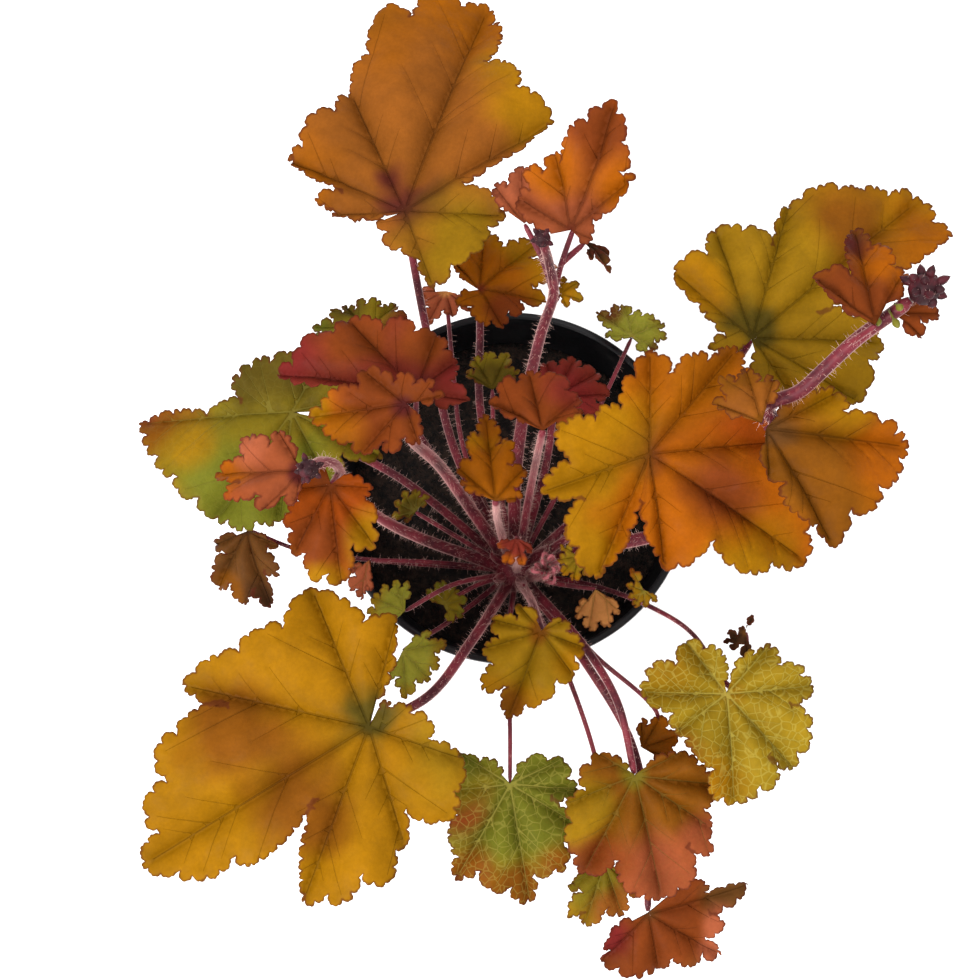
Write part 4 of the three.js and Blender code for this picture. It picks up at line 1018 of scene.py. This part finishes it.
def filled_blade(margin, lines, spacing):
    """Points and triangles that fill a margin, with rows of points along its veins."""
    low, high = margin.min(axis=0), margin.max(axis=0)
    rows = np.arange(low[1], high[1], spacing * math.sqrt(3) / 2)
    columns = np.arange(low[0], high[0], spacing)
    grid = np.vstack([
        np.stack([columns + (i % 2) * spacing / 2, np.full(len(columns), y)], axis=1)
        for i, y in enumerate(rows)
    ])
    on_veins = []
    for start, end, *_ in lines:
        count = max(2, round(np.linalg.norm(end - start) / spacing))
        on_veins.append(start + (end - start) * np.linspace(0, 1, count, endpoint=False)[:, None])
    on_veins = np.vstack(on_veins)
    grid = grid[away_from_veins(grid, lines) > VEIN_ROOM * spacing]
    inner = np.vstack([on_veins[np.linalg.norm(on_veins, axis=1) > NEAR_HEART], grid])
    inner = inner[within(inner, margin)]
    inner = inner[margin_distance(inner, margin) > MARGIN_ROOM * spacing]
    points = [Vector(p) for p in np.vstack([margin, inner])]
    made = delaunay_2d_cdt(points, [], [list(range(len(margin)))], 1, 1e-4)
    return np.array([tuple(p) for p in made[0]]), [tuple(face) for face in made[2]]


def blade_mesh(name, leaf, seed):
    lobes = leaf.lobes
    droop, fold, ruffle = leaf.bend
    reach = max(lobe[1] for lobe in lobes)
    random = np.random.default_rng(seed)
    margin = toothed_margin(leaf, random)
    veins = main_veins(lobes, reach)
    lines = vein_lines(lobes, veins)
    flat, triangles = filled_blade(margin, lines, POINT_SPACING + SPACING_GROWTH * reach)
    x, y = flat.T
    out = np.hypot(x, y) / reach
    middle = (lobes[0][0] + lobes[-1][0]) / 2
    direction = (np.degrees(np.arctan2(y, x)) - middle + 180) % 360 - 180 + middle
    edge = margin_distance(flat, margin)
    edge[np.hypot(x, y) < AT_HEART] = reach
    main, vein = distance_to_veins(flat, lines)
    between = np.zeros(len(flat))
    bounds = [lobes[0][0] - OUTER_FOLD, *(lobe[0] for lobe in veins), lobes[-1][0] + OUTER_FOLD]
    for low, high in zip(bounds, bounds[1:]):
        place = (direction - low) / (high - low + 1e-6)
        rise = np.sin(math.pi * np.clip(place, 0, 1)) ** 0.8
        between = np.where((place >= 0) & (place <= 1), rise, between)
    small = min(1, reach / BIG_BLADE)
    tall = fold * smooth_step(out, 0, 0.6) * between - droop * out ** 2
    turn = np.radians(direction)
    sway = np.sin(3 * turn + seed) + np.sin(5 * turn + 2 * seed + leaf.heading)
    tall = tall + 0.7 * ruffle * out ** 2 * sway
    rolling = smooth_random(x / BLADE_ROLL_WIDTH, y / BLADE_ROLL_WIDTH, seed)
    tall = tall + small * BLADE_ROLL * smooth_step(out, 0, 0.4) * rolling
    ripple = smooth_random(x / EDGE_WAVE_WIDTH, y / EDGE_WAVE_WIDTH, seed + 7)
    tall = tall + small * EDGE_WAVE * np.exp(-edge / EDGE_WAVE_REACH) * ripple
    tall = tall + small * PUFF_HEIGHT * (1 - np.exp(-main / PUFF_WIDTH))
    tall = tall - GROOVE_DEPTH * np.exp(-vein)
    thinning = np.exp(-edge / MARGIN_TAPER)
    thick = BLADE_THICKNESS + (MARGIN_THICKNESS - BLADE_THICKNESS) * thinning
    along, across, normal = blade_axes(leaf)
    top = np.array(leaf.heart) + flat[:, :1] * along + flat[:, 1:] * across + tall[:, None] * normal
    under = top - thick[:, None] * normal
    count = len(top)
    upper = len(triangles)
    edges = {(face[i], face[(i + 1) % 3]) for face in triangles for i in range(3)}
    faces = triangles + [tuple(count + v for v in reversed(face)) for face in triangles]
    faces += [(b, a, count + a, count + b) for a, b in sorted(edges) if (b, a) not in edges]
    blade = new_piece(name, np.vstack([top, under]), faces)
    values = {"vein": vein, "edge": edge, "pale": np.full(count, float(leaf.pale_veins))}
    for label, numbers in values.items():
        attribute = blade.data.attributes.new(label, "FLOAT", "POINT")
        attribute.data.foreach_set("value", np.tile(numbers, 2).astype(np.float32))
    # Painted shade: the tone is darkened along each main vein, where the blade's crease lies in shade.
    crease = 1 - small * CREASE_SHADE * np.exp(-main / CREASE_WIDTH)
    tones = np.column_stack([blade_tones(leaf, flat, out, seed) * crease[:, None], np.ones(count)])
    attribute = blade.data.attributes.new("tone", "FLOAT_COLOR", "POINT")
    attribute.data.foreach_set("color", np.tile(tones, (2, 1)).astype(np.float32).ravel())
    indices = np.zeros(len(faces), dtype=np.int32)
    indices[upper:2 * upper] = 1
    blade.data.polygons.foreach_set("material_index", indices)
    return blade


def leaf_pattern_group():
    """Colour, height and roughness of a leaf face, from its tone, veins and margin."""
    tree = bpy.data.node_groups.new("leaf_pattern", "ShaderNodeTree")
    for label, way, kind in (
        ("Tone", "INPUT", "Color"), ("Colour", "OUTPUT", "Color"),
        ("Height", "OUTPUT", "Float"), ("Roughness", "OUTPUT", "Float"),
    ):
        tree.interface.new_socket(label, in_out=way, socket_type=f"NodeSocket{kind}")
    tone = node(tree, "NodeGroupInput").outputs["Tone"]
    place = own_place(tree)
    vein, edge, pale = (
        node(tree, "ShaderNodeAttribute", attribute_name=name).outputs["Fac"]
        for name in ("vein", "edge", "pale")
    )
    clouds = noise(tree, place, 60, 4, 0.6)
    blotches = noise(tree, place, 170, 5, 0.65)
    grain = noise(tree, place, 900, 4, 0.6)
    cells = node(
        tree, "ShaderNodeTexVoronoi", {"Vector": place, "Scale": 330.0}, feature="DISTANCE_TO_EDGE"
    ).outputs["Distance"]

    def times(first, second):
        return combined(tree, "MULTIPLY", first, second)

    def less(first, second):
        return combined(tree, "SUBTRACT", first, second)

    def shaded(amount):
        return node(tree, "ShaderNodeVectorMath", {0: tone, "Scale": amount}, operation="SCALE").outputs[0]

    cloudy = times(ramped(tree, clouds, 0.3, 0.7, 0.9, 1.12), ramped(tree, blotches, 0.3, 0.7, 0.95, 1.06))
    face = shaded(times(cloudy, ramped(tree, grain, 0.25, 0.75, 0.94, 1.06)))
    line = less(1.0, ramped(tree, vein, 0.2, 1.0))
    web = times(less(1.0, ramped(tree, cells, 0.0, 0.1)), times(pale, WEB_SHOWS))
    lines = combined(tree, "MAXIMUM", times(line, VEIN_SHOWS), web)
    # Veins are darker than the face, partly their own colour and partly painted shade in their grooves; on
    # pale-veined leaves they turn pale instead.
    face = mixed(tree, lines, face, mixed(tree, pale, shaded(VEIN_SHADE), colour(PALE_VEIN)))
    ragged = combined(tree, "ADD", edge, times(less(blotches, 0.5), 2.0))
    border = times(less(1.0, ramped(tree, ragged, 0.05, 0.8)), MARGIN_SHOWS)
    node(tree, "NodeGroupOutput", {
        "Colour": mixed(tree, border, face, colour(MARGIN_BROWN)),
        "Height": less(less(times(grain, 0.2), web), line),
        "Roughness": ramped(tree, blotches, 0.3, 0.7, 0.45, 0.62),
    })
    return tree


leaf_pattern = leaf_pattern_group()


def leaf_material(name, bump_strength, plain_tone=None):
    """A leaf face: its tone comes from the blade's attribute, or is one plain colour."""
    material, tree, shader = new_material(name, Specular_IOR_Level=LEAF_SHINE)
    if plain_tone:
        tone = colour(plain_tone)
    else:
        tone = node(tree, "ShaderNodeAttribute", attribute_name="tone").outputs["Color"]
    face = node(tree, "ShaderNodeGroup", {"Tone": tone}, node_tree=leaf_pattern).outputs
    tree.links.new(face["Roughness"], shader.inputs["Roughness"])
    cover(tree, shader, face["Colour"], face["Height"], bump_strength, 0.0006)
    return material


underside = leaf_material("leaf_underside", -0.6, UNDERSIDE_PINK)
slots = sorted({leaf.slot for leaf in LEAVES.values()})
upper_faces = {slot: leaf_material(slot, 0.55) for slot in slots}

for seed, (name, leaf) in enumerate(LEAVES.items()):
    blade = blade_mesh(f"blade_{name}", leaf, seed)
    blade.data.materials.append(upper_faces[leaf.slot])
    blade.data.materials.append(underside)
    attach(blade, "root")
    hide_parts(f"leaf_{name}")

# ------------------------------------------------------------------ rootstock, stalks and stems
# One short rootstock carries every leaf stalk and flower stem, with folded young leaves in its
# crown and pale shoots beside it. They are dusty rose red, round and fleshy, and thickly covered
# in soft pale hairs.

CROWN = Vector((2, -29, 97))
ROOT_DEPTH = 24
ROOT_FOOT = SOIL_TOP - ROOT_DEPTH + FIT

# Radii of the stalks, the twigs and the flower stems.
LEAF_STALK = 1.5
THICK_STALK = 1.8
THIN_STALK = 0.9
TWIG = 0.8
FLOWER_STEM = 2.3

FOOT_WIDENING = 1.1
STALK_TAPER = 0.8
STALK_SWELL = 0.35
STEM_SWELL = 0.3
SWELL_REACH = 9
STALK_STEP = 2
TWIG_STEP = 1.5
STALK_SIDES = 10
STEM_SIDES = 12
TWIG_SIDES = 8
ROOTSTOCK_SIDES = 20
SPLINE_STEPS = 24
STALK_ROSE = "#70242f"
STALK_DARK = "#40121b"
STALK_PALE = "#b06a60"
STALK_SHEEN = "#cc9c96"
HAIR_LENGTH = 2.1
HAIR_RADIUS = 0.045
HAIR_LEAN = 0.35
SHORTEST_HAIR = 0.45
LONGEST_HAIR = 1.1
HAIRS_PER_M2 = 420000
STALK_HAIR_SEED = 20
SHOOT_HAIR_SEED = 30
STALK_FOOT_REACH = 5
STALK_FOOT_DEPTH = 4
HAIR_COLOUR = "#e4bcb0"
SHOOTS = 11
SHOOT_FOOT = (12.5, -31.5, 103)
SHOOT_REACH = 5.5
SHOOT_HEIGHT = 17
SHOOT_RADIUS = 1.1
SHOOT_HAIR_LENGTH = 1.2
SHOOT_PINK = "#b4646a"

LEAF_STALKS = [
    ("back_brown", LEAF_STALK, [(-11, 20, 138), (-11, 42, 160)]),
    ("top_amber", LEAF_STALK, [(-20, 7, 135), (-28, 38, 162), (-32, 57, 182)]),
    ("left_olive", LEAF_STALK, [(-38, -4, 138), (-61, 6, 154)]),
    ("back_left_olive", LEAF_STALK, [(-22, -1, 120), (-39, 23, 138)]),
    ("left_brown", THIN_STALK, [(-47, -29, 116), (-73, -27, 127)]),
    ("front_left_gold", THICK_STALK, [(-14, -59, 135), (-27, -78, 158)]),
    ("front_green_a", THIN_STALK, [(-22, -39, 123)]),
    ("front_green_b", THIN_STALK, [(-22, -50, 112)]),
    ("front_green_c", THIN_STALK, [(-14, -38, 112)]),
    ("left_pink", THIN_STALK, [(-29, -29, 112)]),
    ("left_small_green", THIN_STALK, [(-20, -21, 122)]),
    ("centre_gold", LEAF_STALK, [(-5, -19, 140)]),
    ("centre_red", LEAF_STALK, [(2, -30, 130)]),
    ("centre_brown", LEAF_STALK, [(6, -8, 140)]),
    ("back_red", LEAF_STALK, [(12, 4, 125)]),
    ("back_centre_olive", THIN_STALK, [(-6, 5, 135)]),
    ("right_orange", LEAF_STALK, [(26, -19, 140), (36, -12, 178)]),
    ("right_gold", LEAF_STALK, [(33, -7, 135), (60, 12, 165)]),
    ("back_olive", THIN_STALK, [(21, 5, 108), (37, 38, 114)]),
    ("front_gold", LEAF_STALK, [(7, -46, 130)]),
    ("front_green_orange", THIN_STALK, [(-2, -63, 122), (-1, -85, 127)]),
    ("front_orange_brown", LEAF_STALK, [(26, -62, 126), (35, -80, 135)]),
    ("front_brown_under", THIN_STALK, [(28, -62, 120), (50, -84, 121)]),
    ("front_bottom_brown", LEAF_STALK, [(24, -63, 119), (41, -93, 119), (46, -121, 115)]),
    ("front_bottom_yellow", THIN_STALK, [(20, -71, 116), (30, -105, 118)]),
    ("front_right_gold", THIN_STALK, [(31, -38, 112), (48, -46, 122), (61, -58, 138)]),
    ("front_peach", THIN_STALK, [(17, -37, 113)]),
    ("centre_yellow", THIN_STALK, [(16, -30, 120)]),
    ("back_pink", THIN_STALK, [(-17, 10, 122), (-21, 40, 134)]),
]

FLOWER_STEMS = [
    (FLOWER_STEM, 1.3, [(1, -3, 130), (4, 18, 160), (8, 31, 190), (11, 37, 212), (9, 41, 226), (7, 42, 238)]),
    (FLOWER_STEM, 1.8, [
        (31, -25, 122), (49, -24, 145), (68, -18, 172), (82, -11, 200), (76, -9, 222),
        (68, -3, 233), (75, -1, 241), (81, 4, 247), (88, 10, 253), (96, 15, 260), (99, 17, 263),
    ]),
    (2.1, 1.6, [(-15, -12, 130), (-24, -5, 165), (-31, -4, 196), (-31, -5, 216)]),
    (2, 1.3, [
        (-32, -23, 130), (-45, -20, 160), (-51, -16, 190), (-52, -15, 214), (-55, -17, 226), (-56, -20, 233),
    ]),
]

TWIGS = [
    ("top_orange_upright", [(11, 37, 211), (13, 43, 220)]),
    ("top_pink_under", [(11, 37, 210), (8, 46, 213)]),
    ("stem_yellow_bract", [(9, 34, 200)]),
    ("dry_bract", [(13, 43, 220)]),
    ("right_bract", [(73, -6, 227)]),
    ("right_small_bract", [(68, -3, 234), (65, -6, 239)]),
    ("bud_bract_up", [(86, 9, 252)]),
    ("bud_bract_low", [(89, 11, 254), (94, 14, 253)]),
    ("left_orange_front", [(-31, -5, 215)]),
    ("left_red", [(-30, -4, 200)]),
    ("left_bract_low", [(-52, -15, 202)]),
    ("left_bract_tip", [(-53, -16, 220)]),
    ("front_lime", [(46, -44.5, 120.5)]),
    ("front_right_dry", [(67.5, -72, 144.5), (73, -75, 142), (78, -69, 141), (77, -63, 143)]),
]

# Heights and radii of the rootstock, from its foot in the compost to its top.
ROOTSTOCK = [
    (ROOT_FOOT, 5), (ROOT_FOOT + 2, 6.4), (SOIL_TOP - 4, 8), (SOIL_TOP, 8), (CROWN.z, 7.8),
    (CROWN.z + 3, 6.2), (CROWN.z + 5.5, 2.5),
]

# Young leaves still folded in the crown: height, lean, the way it leans in degrees, radius.
YOUNG_LEAVES = [
    (24, 9, -30, 2.6), (20, 11, 25, 2.4), (18, 8, -75, 2.2), (15, 9, 80, 2), (14, 9, 160, 1.8),
    (13, 9, 215, 1.8),
]

# Share of the way up a young leaf, and its radius there as a share of its widest.
YOUNG_LEAF_SHAPE = [(0, 0.8), (0.33, 1), (0.66, 0.7), (1, 0.12)]


def smooth_path(points, spacing):
    """Points at even steps along a centripetal spline through the given points."""
    points = [np.array(p, float) for p in points]
    ghost_start = 2 * points[0] - points[1]
    ghost_end = 2 * points[-1] - points[-2]
    line = [ghost_start, *points, ghost_end]
    dense = []
    for p0, p1, p2, p3 in zip(line, line[1:], line[2:], line[3:]):
        t1 = np.linalg.norm(p1 - p0) ** 0.5
        t2 = t1 + np.linalg.norm(p2 - p1) ** 0.5
        t3 = t2 + np.linalg.norm(p3 - p2) ** 0.5
        for t in np.linspace(t1, t2, SPLINE_STEPS, endpoint=False):
            a1 = p0 + (p1 - p0) * t / t1
            a2 = p1 + (p2 - p1) * (t - t1) / (t2 - t1)
            a3 = p2 + (p3 - p2) * (t - t2) / (t3 - t2)
            b1 = a1 + (a2 - a1) * t / t2
            b2 = a2 + (a3 - a2) * (t - t1) / (t3 - t1)
            dense.append(b1 + (b2 - b1) * (t - t1) / (t2 - t1))
    dense.append(points[-1])
    dense = np.array(dense)
    lengths = np.concatenate([[0], np.cumsum(np.linalg.norm(np.diff(dense, axis=0), axis=1))])
    count = max(6, round(lengths[-1] / spacing))
    wanted = np.linspace(0, lengths[-1], count + 1)
    return np.stack([np.interp(wanted, lengths, dense[:, k]) for k in range(3)], axis=1)


def rod(path, radii, sides):
    """Vertices and faces of a closed round rod along a path."""
    vertices = []
    faces = []
    across = np.array((0.3, -0.2, 1.0))
    for i, (centre, radius) in enumerate(zip(path, radii)):
        tangent = path[min(i + 1, len(path) - 1)] - path[max(i - 1, 0)]
        tangent /= np.linalg.norm(tangent)
        across = across - tangent * (across @ tangent)
        across /= np.linalg.norm(across)
        up = np.cross(tangent, across)
        for k in range(sides):
            turn = 2 * math.pi * k / sides
            vertices.append(centre + radius * (math.cos(turn) * across + math.sin(turn) * up))
    for i in range(len(path) - 1):
        for k in range(sides):
            j = (k + 1) % sides
            low = i * sides
            faces.append((low + k, low + j, low + sides + j, low + sides + k))
    faces.append(tuple(reversed(range(sides))))
    faces.append(tuple(range((len(path) - 1) * sides, len(path) * sides)))
    return vertices, faces


def stalk_foot(first):
    out = Vector((first[0] - CROWN.x, first[1] - CROWN.y))
    out.length = min(STALK_FOOT_REACH, out.length)
    return (CROWN.x + out.x, CROWN.y + out.y, CROWN.z - STALK_FOOT_DEPTH)


def stalk_tip(name, before, radius):
    leaf = LEAVES[name]
    heart = np.array(leaf.heart, float)
    normal = blade_axes(leaf)[2]
    way = heart - np.array(before, float)
    upright = way @ normal / np.linalg.norm(way)
    edge = radius * math.sqrt(max(0, 1 - upright ** 2))
    return heart - normal * (BLADE_THICKNESS + 0.05 + edge)


def rounded_taper(path, start, end, foot_swell):
    """Radii along a stalk: swollen where it leaves the crown, and rounded off at its tip."""
    lengths = np.linspace(0, 1, len(path))
    radii = start + (end - start) * lengths
    total = np.sum(np.linalg.norm(np.diff(path, axis=0), axis=1))
    radii = radii * (1 + foot_swell * np.exp(-lengths * total / SWELL_REACH))
    radii[-1] *= 0.6
    return radii


def stalk_material():
    material, tree, shader = new_material("stalk_skin", Roughness=0.5, Specular_IOR_Level=DULL_SHINE)
    place = own_place(tree)
    clouds = noise(tree, place, 70, 4, 0.6)
    freckles = noise(tree, place, 700, 4, 0.65)
    tone = mixed(tree, ramped(tree, clouds, 0.35, 0.65), colour(STALK_ROSE), colour(STALK_DARK))
    tone = mixed(tree, ramped(tree, freckles, 0.5, 0.75, 0, 0.25), tone, colour(STALK_PALE))
    # Painted sheen: the skin turns paler pink towards its outline, where its hairs would catch the light.
    rim = node(tree, "ShaderNodeLayerWeight", {"Blend": 0.4}).outputs["Facing"]
    tone = mixed(tree, ramped(tree, rim, 0.45, 0.9, 0, 0.7), tone, colour(STALK_SHEEN))
    cover(tree, shader, tone, freckles, 0.3, 0.0003)
    return material


def hair_material():
    material, tree, shader = new_material("plant_hair", Roughness=0.6, Specular_IOR_Level=DULL_SHINE)
    tints = noise(tree, own_place(tree), 300, 2, 0.5)
    tone = mixed(tree, ramped(tree, tints, 0.5, 0.8), colour(HAIR_COLOUR), colour(STALK_PALE))
    tree.links.new(tone, shader.inputs["Base Color"])
    return material


def slim_hair(tree, given, points, lean):
    """A three-sided cone that stands out of the skin, a little to one side."""
    cone = node(tree, "GeometryNodeMeshCone", {
        "Vertices": 3, "Radius Top": 0.0, "Radius Bottom": given["Radius"], "Depth": given["Length"],
    }, fill_type="NONE")
    turn = node(tree, "FunctionNodeRotateRotation", {
        0: points["Rotation"], 1: lean,
    }, rotation_space="LOCAL")
    size = node(tree, "FunctionNodeRandomValue", {2: SHORTEST_HAIR, 3: LONGEST_HAIR, "Seed": given["Seed"]})
    return cone.outputs["Mesh"], turn.outputs[0], size.outputs[1]


def grown_hairs(base, name, seed, length, more=1, thinner=1):
    """Hairs all over a piece, as a piece of their own."""
    return grown_mesh(base, hair_growth, {
        "Density": more * HAIRS_PER_M2, "Length": length * MM, "Radius": thinner * HAIR_RADIUS * MM,
        "Seed": seed, "Material": hair_look,
    }, name)


def joined_rods(name, rods):
    vertices = []
    faces = []
    for rod_vertices, rod_faces in rods:
        offset = len(vertices)
        vertices += rod_vertices
        faces += [tuple(offset + v for v in face) for face in rod_faces]
    return new_piece(name, vertices, faces)


def leaf_stalk_rods():
    rods = []
    for leaf, radius, turns in LEAF_STALKS:
        end = radius * STALK_TAPER
        path = smooth_path([stalk_foot(turns[0]), *turns, stalk_tip(leaf, turns[-1], end)], STALK_STEP)
        radii = rounded_taper(path, radius * FOOT_WIDENING, end, STALK_SWELL)
        rods.append(rod(path, radii, STALK_SIDES))
    path = np.array([(CROWN.x, CROWN.y, height) for height, radius in ROOTSTOCK])
    rods.append(rod(path, [radius for height, radius in ROOTSTOCK], ROOTSTOCK_SIDES))
    share, width = np.array(YOUNG_LEAF_SHAPE).T
    for height, lean, towards, radius in YOUNG_LEAVES:
        x = math.cos(math.radians(towards))
        y = math.sin(math.radians(towards))
        knots = [(lean * 0.5, 0), (lean, height * 0.6), (lean * 1.1, height)]
        turns = [(CROWN.x + out * x, CROWN.y + out * y, CROWN.z + up) for out, up in knots]
        path = smooth_path(turns, TWIG_STEP)
        widths = np.interp(np.linspace(0, 1, len(path)), share, width)
        rods.append(rod(path, radius * widths, STALK_SIDES))
    return rods


def flower_stem_rods():
    rods = []
    for radius, end, turns in FLOWER_STEMS:
        path = smooth_path([stalk_foot(turns[0]), *turns], STALK_STEP)
        radii = rounded_taper(path, radius * FOOT_WIDENING, end, STEM_SWELL)
        rods.append(rod(path, radii, STEM_SIDES))
    for leaf, turns in TWIGS:
        path = smooth_path([*turns, stalk_tip(leaf, turns[-1], TWIG)], TWIG_STEP)
        rods.append(rod(path, rounded_taper(path, TWIG * 1.3, TWIG, 0), TWIG_SIDES))
    return rods


def young_growth_rods():
    """Short pale shoots that curl over one another just beside the crown."""
    rods = []
    share = np.linspace(0, 1, 10)
    for i in range(SHOOTS):
        turn = 2 * math.pi * i / SHOOTS
        out = SHOOT_REACH * (0.5 + 0.5 * (i % 3) / 2) * np.sin(0.8 * math.pi * share)
        up = SHOOT_HEIGHT * (0.7 + 0.3 * (i % 2)) * np.sin(0.62 * math.pi * share)
        around = turn + 0.9 * share
        spiral = np.stack([out * np.cos(around), out * np.sin(around), up], axis=1)
        rods.append(rod(np.array(SHOOT_FOOT) + spiral, SHOOT_RADIUS * (1 - 0.55 * share), TWIG_SIDES))
    return rods


skin = stalk_material()
hair_look = hair_material()
hair_growth = scatter_tree("grow_hairs", ["Length", "Radius"], HAIR_LEAN, slim_hair)
stalks = joined_rods("leaf_stalks_and_crown", leaf_stalk_rods())
stems = joined_rods("flower_stems", flower_stem_rods())
for seed, (piece, hair_name) in enumerate(((stalks, "leaf_stalk_hairs"), (stems, "flower_stem_hairs"))):
    fuzz = grown_hairs(piece, hair_name, STALK_HAIR_SEED + seed, HAIR_LENGTH)
    piece.data.materials.append(skin)
    for made in (piece, fuzz):
        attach(made, "root")
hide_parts("crown_and_stalks")

shoots = joined_rods("young_growth", young_growth_rods())
shoot_hairs = grown_hairs(shoots, "young_growth_hairs", SHOOT_HAIR_SEED, SHOOT_HAIR_LENGTH, more=4)
shoots.data.materials.append(new_material(
    "young_skin", Base_Color=colour(SHOOT_PINK), Roughness=0.6, Specular_IOR_Level=DULL_SHINE,
)[0])
for made in (shoots, shoot_hairs):
    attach(made, "root")

# ------------------------------------------------------------------ flower bud heads
# Tight heads of pointed maroon buds at the tips of three flower stems, hairy all over, and
# three round green buds on short stalks just under the right head.

GOLDEN_ANGLE = math.pi * (3 - math.sqrt(5))
BUD_MAROON = "#280a10"
BUD_RED = "#45121a"
BUD_TIP = "#6c3030"
BUD_GREEN = "#67631a"
BUD_HAIR_LENGTH = 0.6
BUD_HAIR_SEED = 40
BUD_SIDES = 10
HEAD_SIDES = 16
ROUND_BUD_SIDES = 12
ROUND_BUD_RADIUS = 1.0
ROUND_BUDS = [
    ((92, 15, 259), (90, 10, 264)),
    ((95, 16, 263), (95, 13, 268)),
    ((94, 15, 261), (95, 9, 265)),
]

# Share of the way along a bud, and its width there as a share of the head's or the bud's radius.
BUD_SHAPE = [(0, 0.2), (0.15, 0.27), (0.4, 0.3), (0.65, 0.26), (0.85, 0.14), (1, 0.02)]
ROUND_BUD_SHAPE = [
    (0, 0.35), (0.3, 0.3), (0.5, 0.35), (0.62, 0.8), (0.74, 1), (0.86, 0.8), (0.95, 0.45), (1, 0.05),
]

# The stem's last two points, the radius of the head and its number of buds.
BUD_HEADS = [
    ("top", (9, 41, 226), (7, 42, 238), 2.4, 7),
    ("right", (96, 15, 260), (99, 17, 263), 4, 15),
    ("far_left", (-55, -17, 226), (-56, -20, 233), 2.8, 9),
]


def bud_material():
    material, tree, shader = new_material("bud_skin", Roughness=0.6, Specular_IOR_Level=DULL_SHINE)
    place = own_place(tree)
    clouds = noise(tree, place, 260, 4, 0.6)
    tips = noise(tree, place, 900, 3, 0.6)
    tone = mixed(tree, ramped(tree, clouds, 0.4, 0.62), colour(BUD_MAROON), colour(BUD_RED))
    tone = mixed(tree, ramped(tree, tips, 0.6, 0.8, 0, 0.7), tone, colour(BUD_TIP))
    cover(tree, shader, tone, tips, 0.4, 0.0003)
    return material


def bud_head(name, before, tip, radius, buds):
    axis = np.array(tip, float) - np.array(before, float)
    axis /= np.linalg.norm(axis)
    centre = np.array(tip, float) + axis * (radius + FIT)
    turn = Vector((0, 0, 1)).rotation_difference(Vector(axis)).to_matrix()
    rods = []
    heights = np.linspace(-1, 1, 9)
    path = np.array([centre + axis * radius * h for h in heights])
    rods.append(rod(path, radius * np.sqrt(1 - (0.985 * heights) ** 2), HEAD_SIDES))
    share, width = np.array(BUD_SHAPE).T
    for i in range(buds):
        height = 1 - 1.45 * ((i + 0.5) / buds)
        out = math.sqrt(1 - height * height)
        angle = i * GOLDEN_ANGLE
        way = np.array(turn @ Vector((out * math.cos(angle), out * math.sin(angle), height)))
        length = radius * (0.8 + 0.2 * math.cos(3 * angle))
        start = centre + way * radius * 0.75
        rods.append(rod(start + way * length * share[:, None], radius * width, BUD_SIDES))
    return joined_rods(f"buds_{name}", rods)


def round_bud_rods():
    """Round green buds on short stalks that leave the right stem just below its head."""
    rods = []
    share, width = np.array(ROUND_BUD_SHAPE).T
    for foot, tip in ROUND_BUDS:
        way = np.array(tip, float) - np.array(foot, float)
        path = np.array(foot, float) + way * share[:, None]
        rods.append(rod(path, ROUND_BUD_RADIUS * width, ROUND_BUD_SIDES))
    return rods


bud_skin = bud_material()
for seed, (name, before, tip, radius, buds) in enumerate(BUD_HEADS):
    head = bud_head(name, before, tip, radius, buds)
    hair_seed = BUD_HAIR_SEED + seed
    fuzz = grown_hairs(head, f"bud_hairs_{name}", hair_seed, BUD_HAIR_LENGTH, more=0.8, thinner=0.7)
    head.data.materials.append(bud_skin)
    for made in (head, fuzz):
        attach(made, "root")
    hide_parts(f"bud_head_{name}")

green_buds = joined_rods("round_buds_right", round_bud_rods())
green_buds.data.materials.append(new_material(
    "round_bud_skin", Base_Color=colour(BUD_GREEN), Roughness=0.5, Specular_IOR_Level=DULL_SHINE,
)[0])
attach(green_buds, "root")

# ------------------------------------------------------------------ floor and light
# A plain white floor, a bright white room and two large soft lights, one at the front left as
# from a window and a weaker one overhead.

FLOOR_SIZE = 6.0
ROOM_BRIGHTNESS = 1.1
WHITE = (1, 1, 1, 1)
LAMP_TARGET = Vector((0, 0, 0.15))

# Each lamp's place and width in metres, and its power in watts.
LAMPS = {
    "window": ((-0.9, -0.9, 1.4), 0.9, 34),
    "overhead": ((0.3, 0.3, 1.8), 1.2, 10),
}

bpy.ops.mesh.primitive_plane_add(size=FLOOR_SIZE)
floor = bpy.context.object
floor.name = "floor"
floor.data.materials.append(new_material("floor_paint", Base_Color=WHITE, Roughness=0.9)[0])

scene = bpy.context.scene
scene.view_settings.view_transform = "Standard"
world = bpy.data.worlds.new("room")
world.use_nodes = True
world.node_tree.nodes["Background"].inputs["Color"].default_value = WHITE
world.node_tree.nodes["Background"].inputs["Strength"].default_value = ROOM_BRIGHTNESS
scene.world = world

for name, (place, width, power) in LAMPS.items():
    lamp = bpy.data.lights.new(name, "AREA")
    lamp.shape = "DISK"
    lamp.size = width
    lamp.energy = power
    aimed_object(name, lamp, place, Vector(place) - LAMP_TARGET)
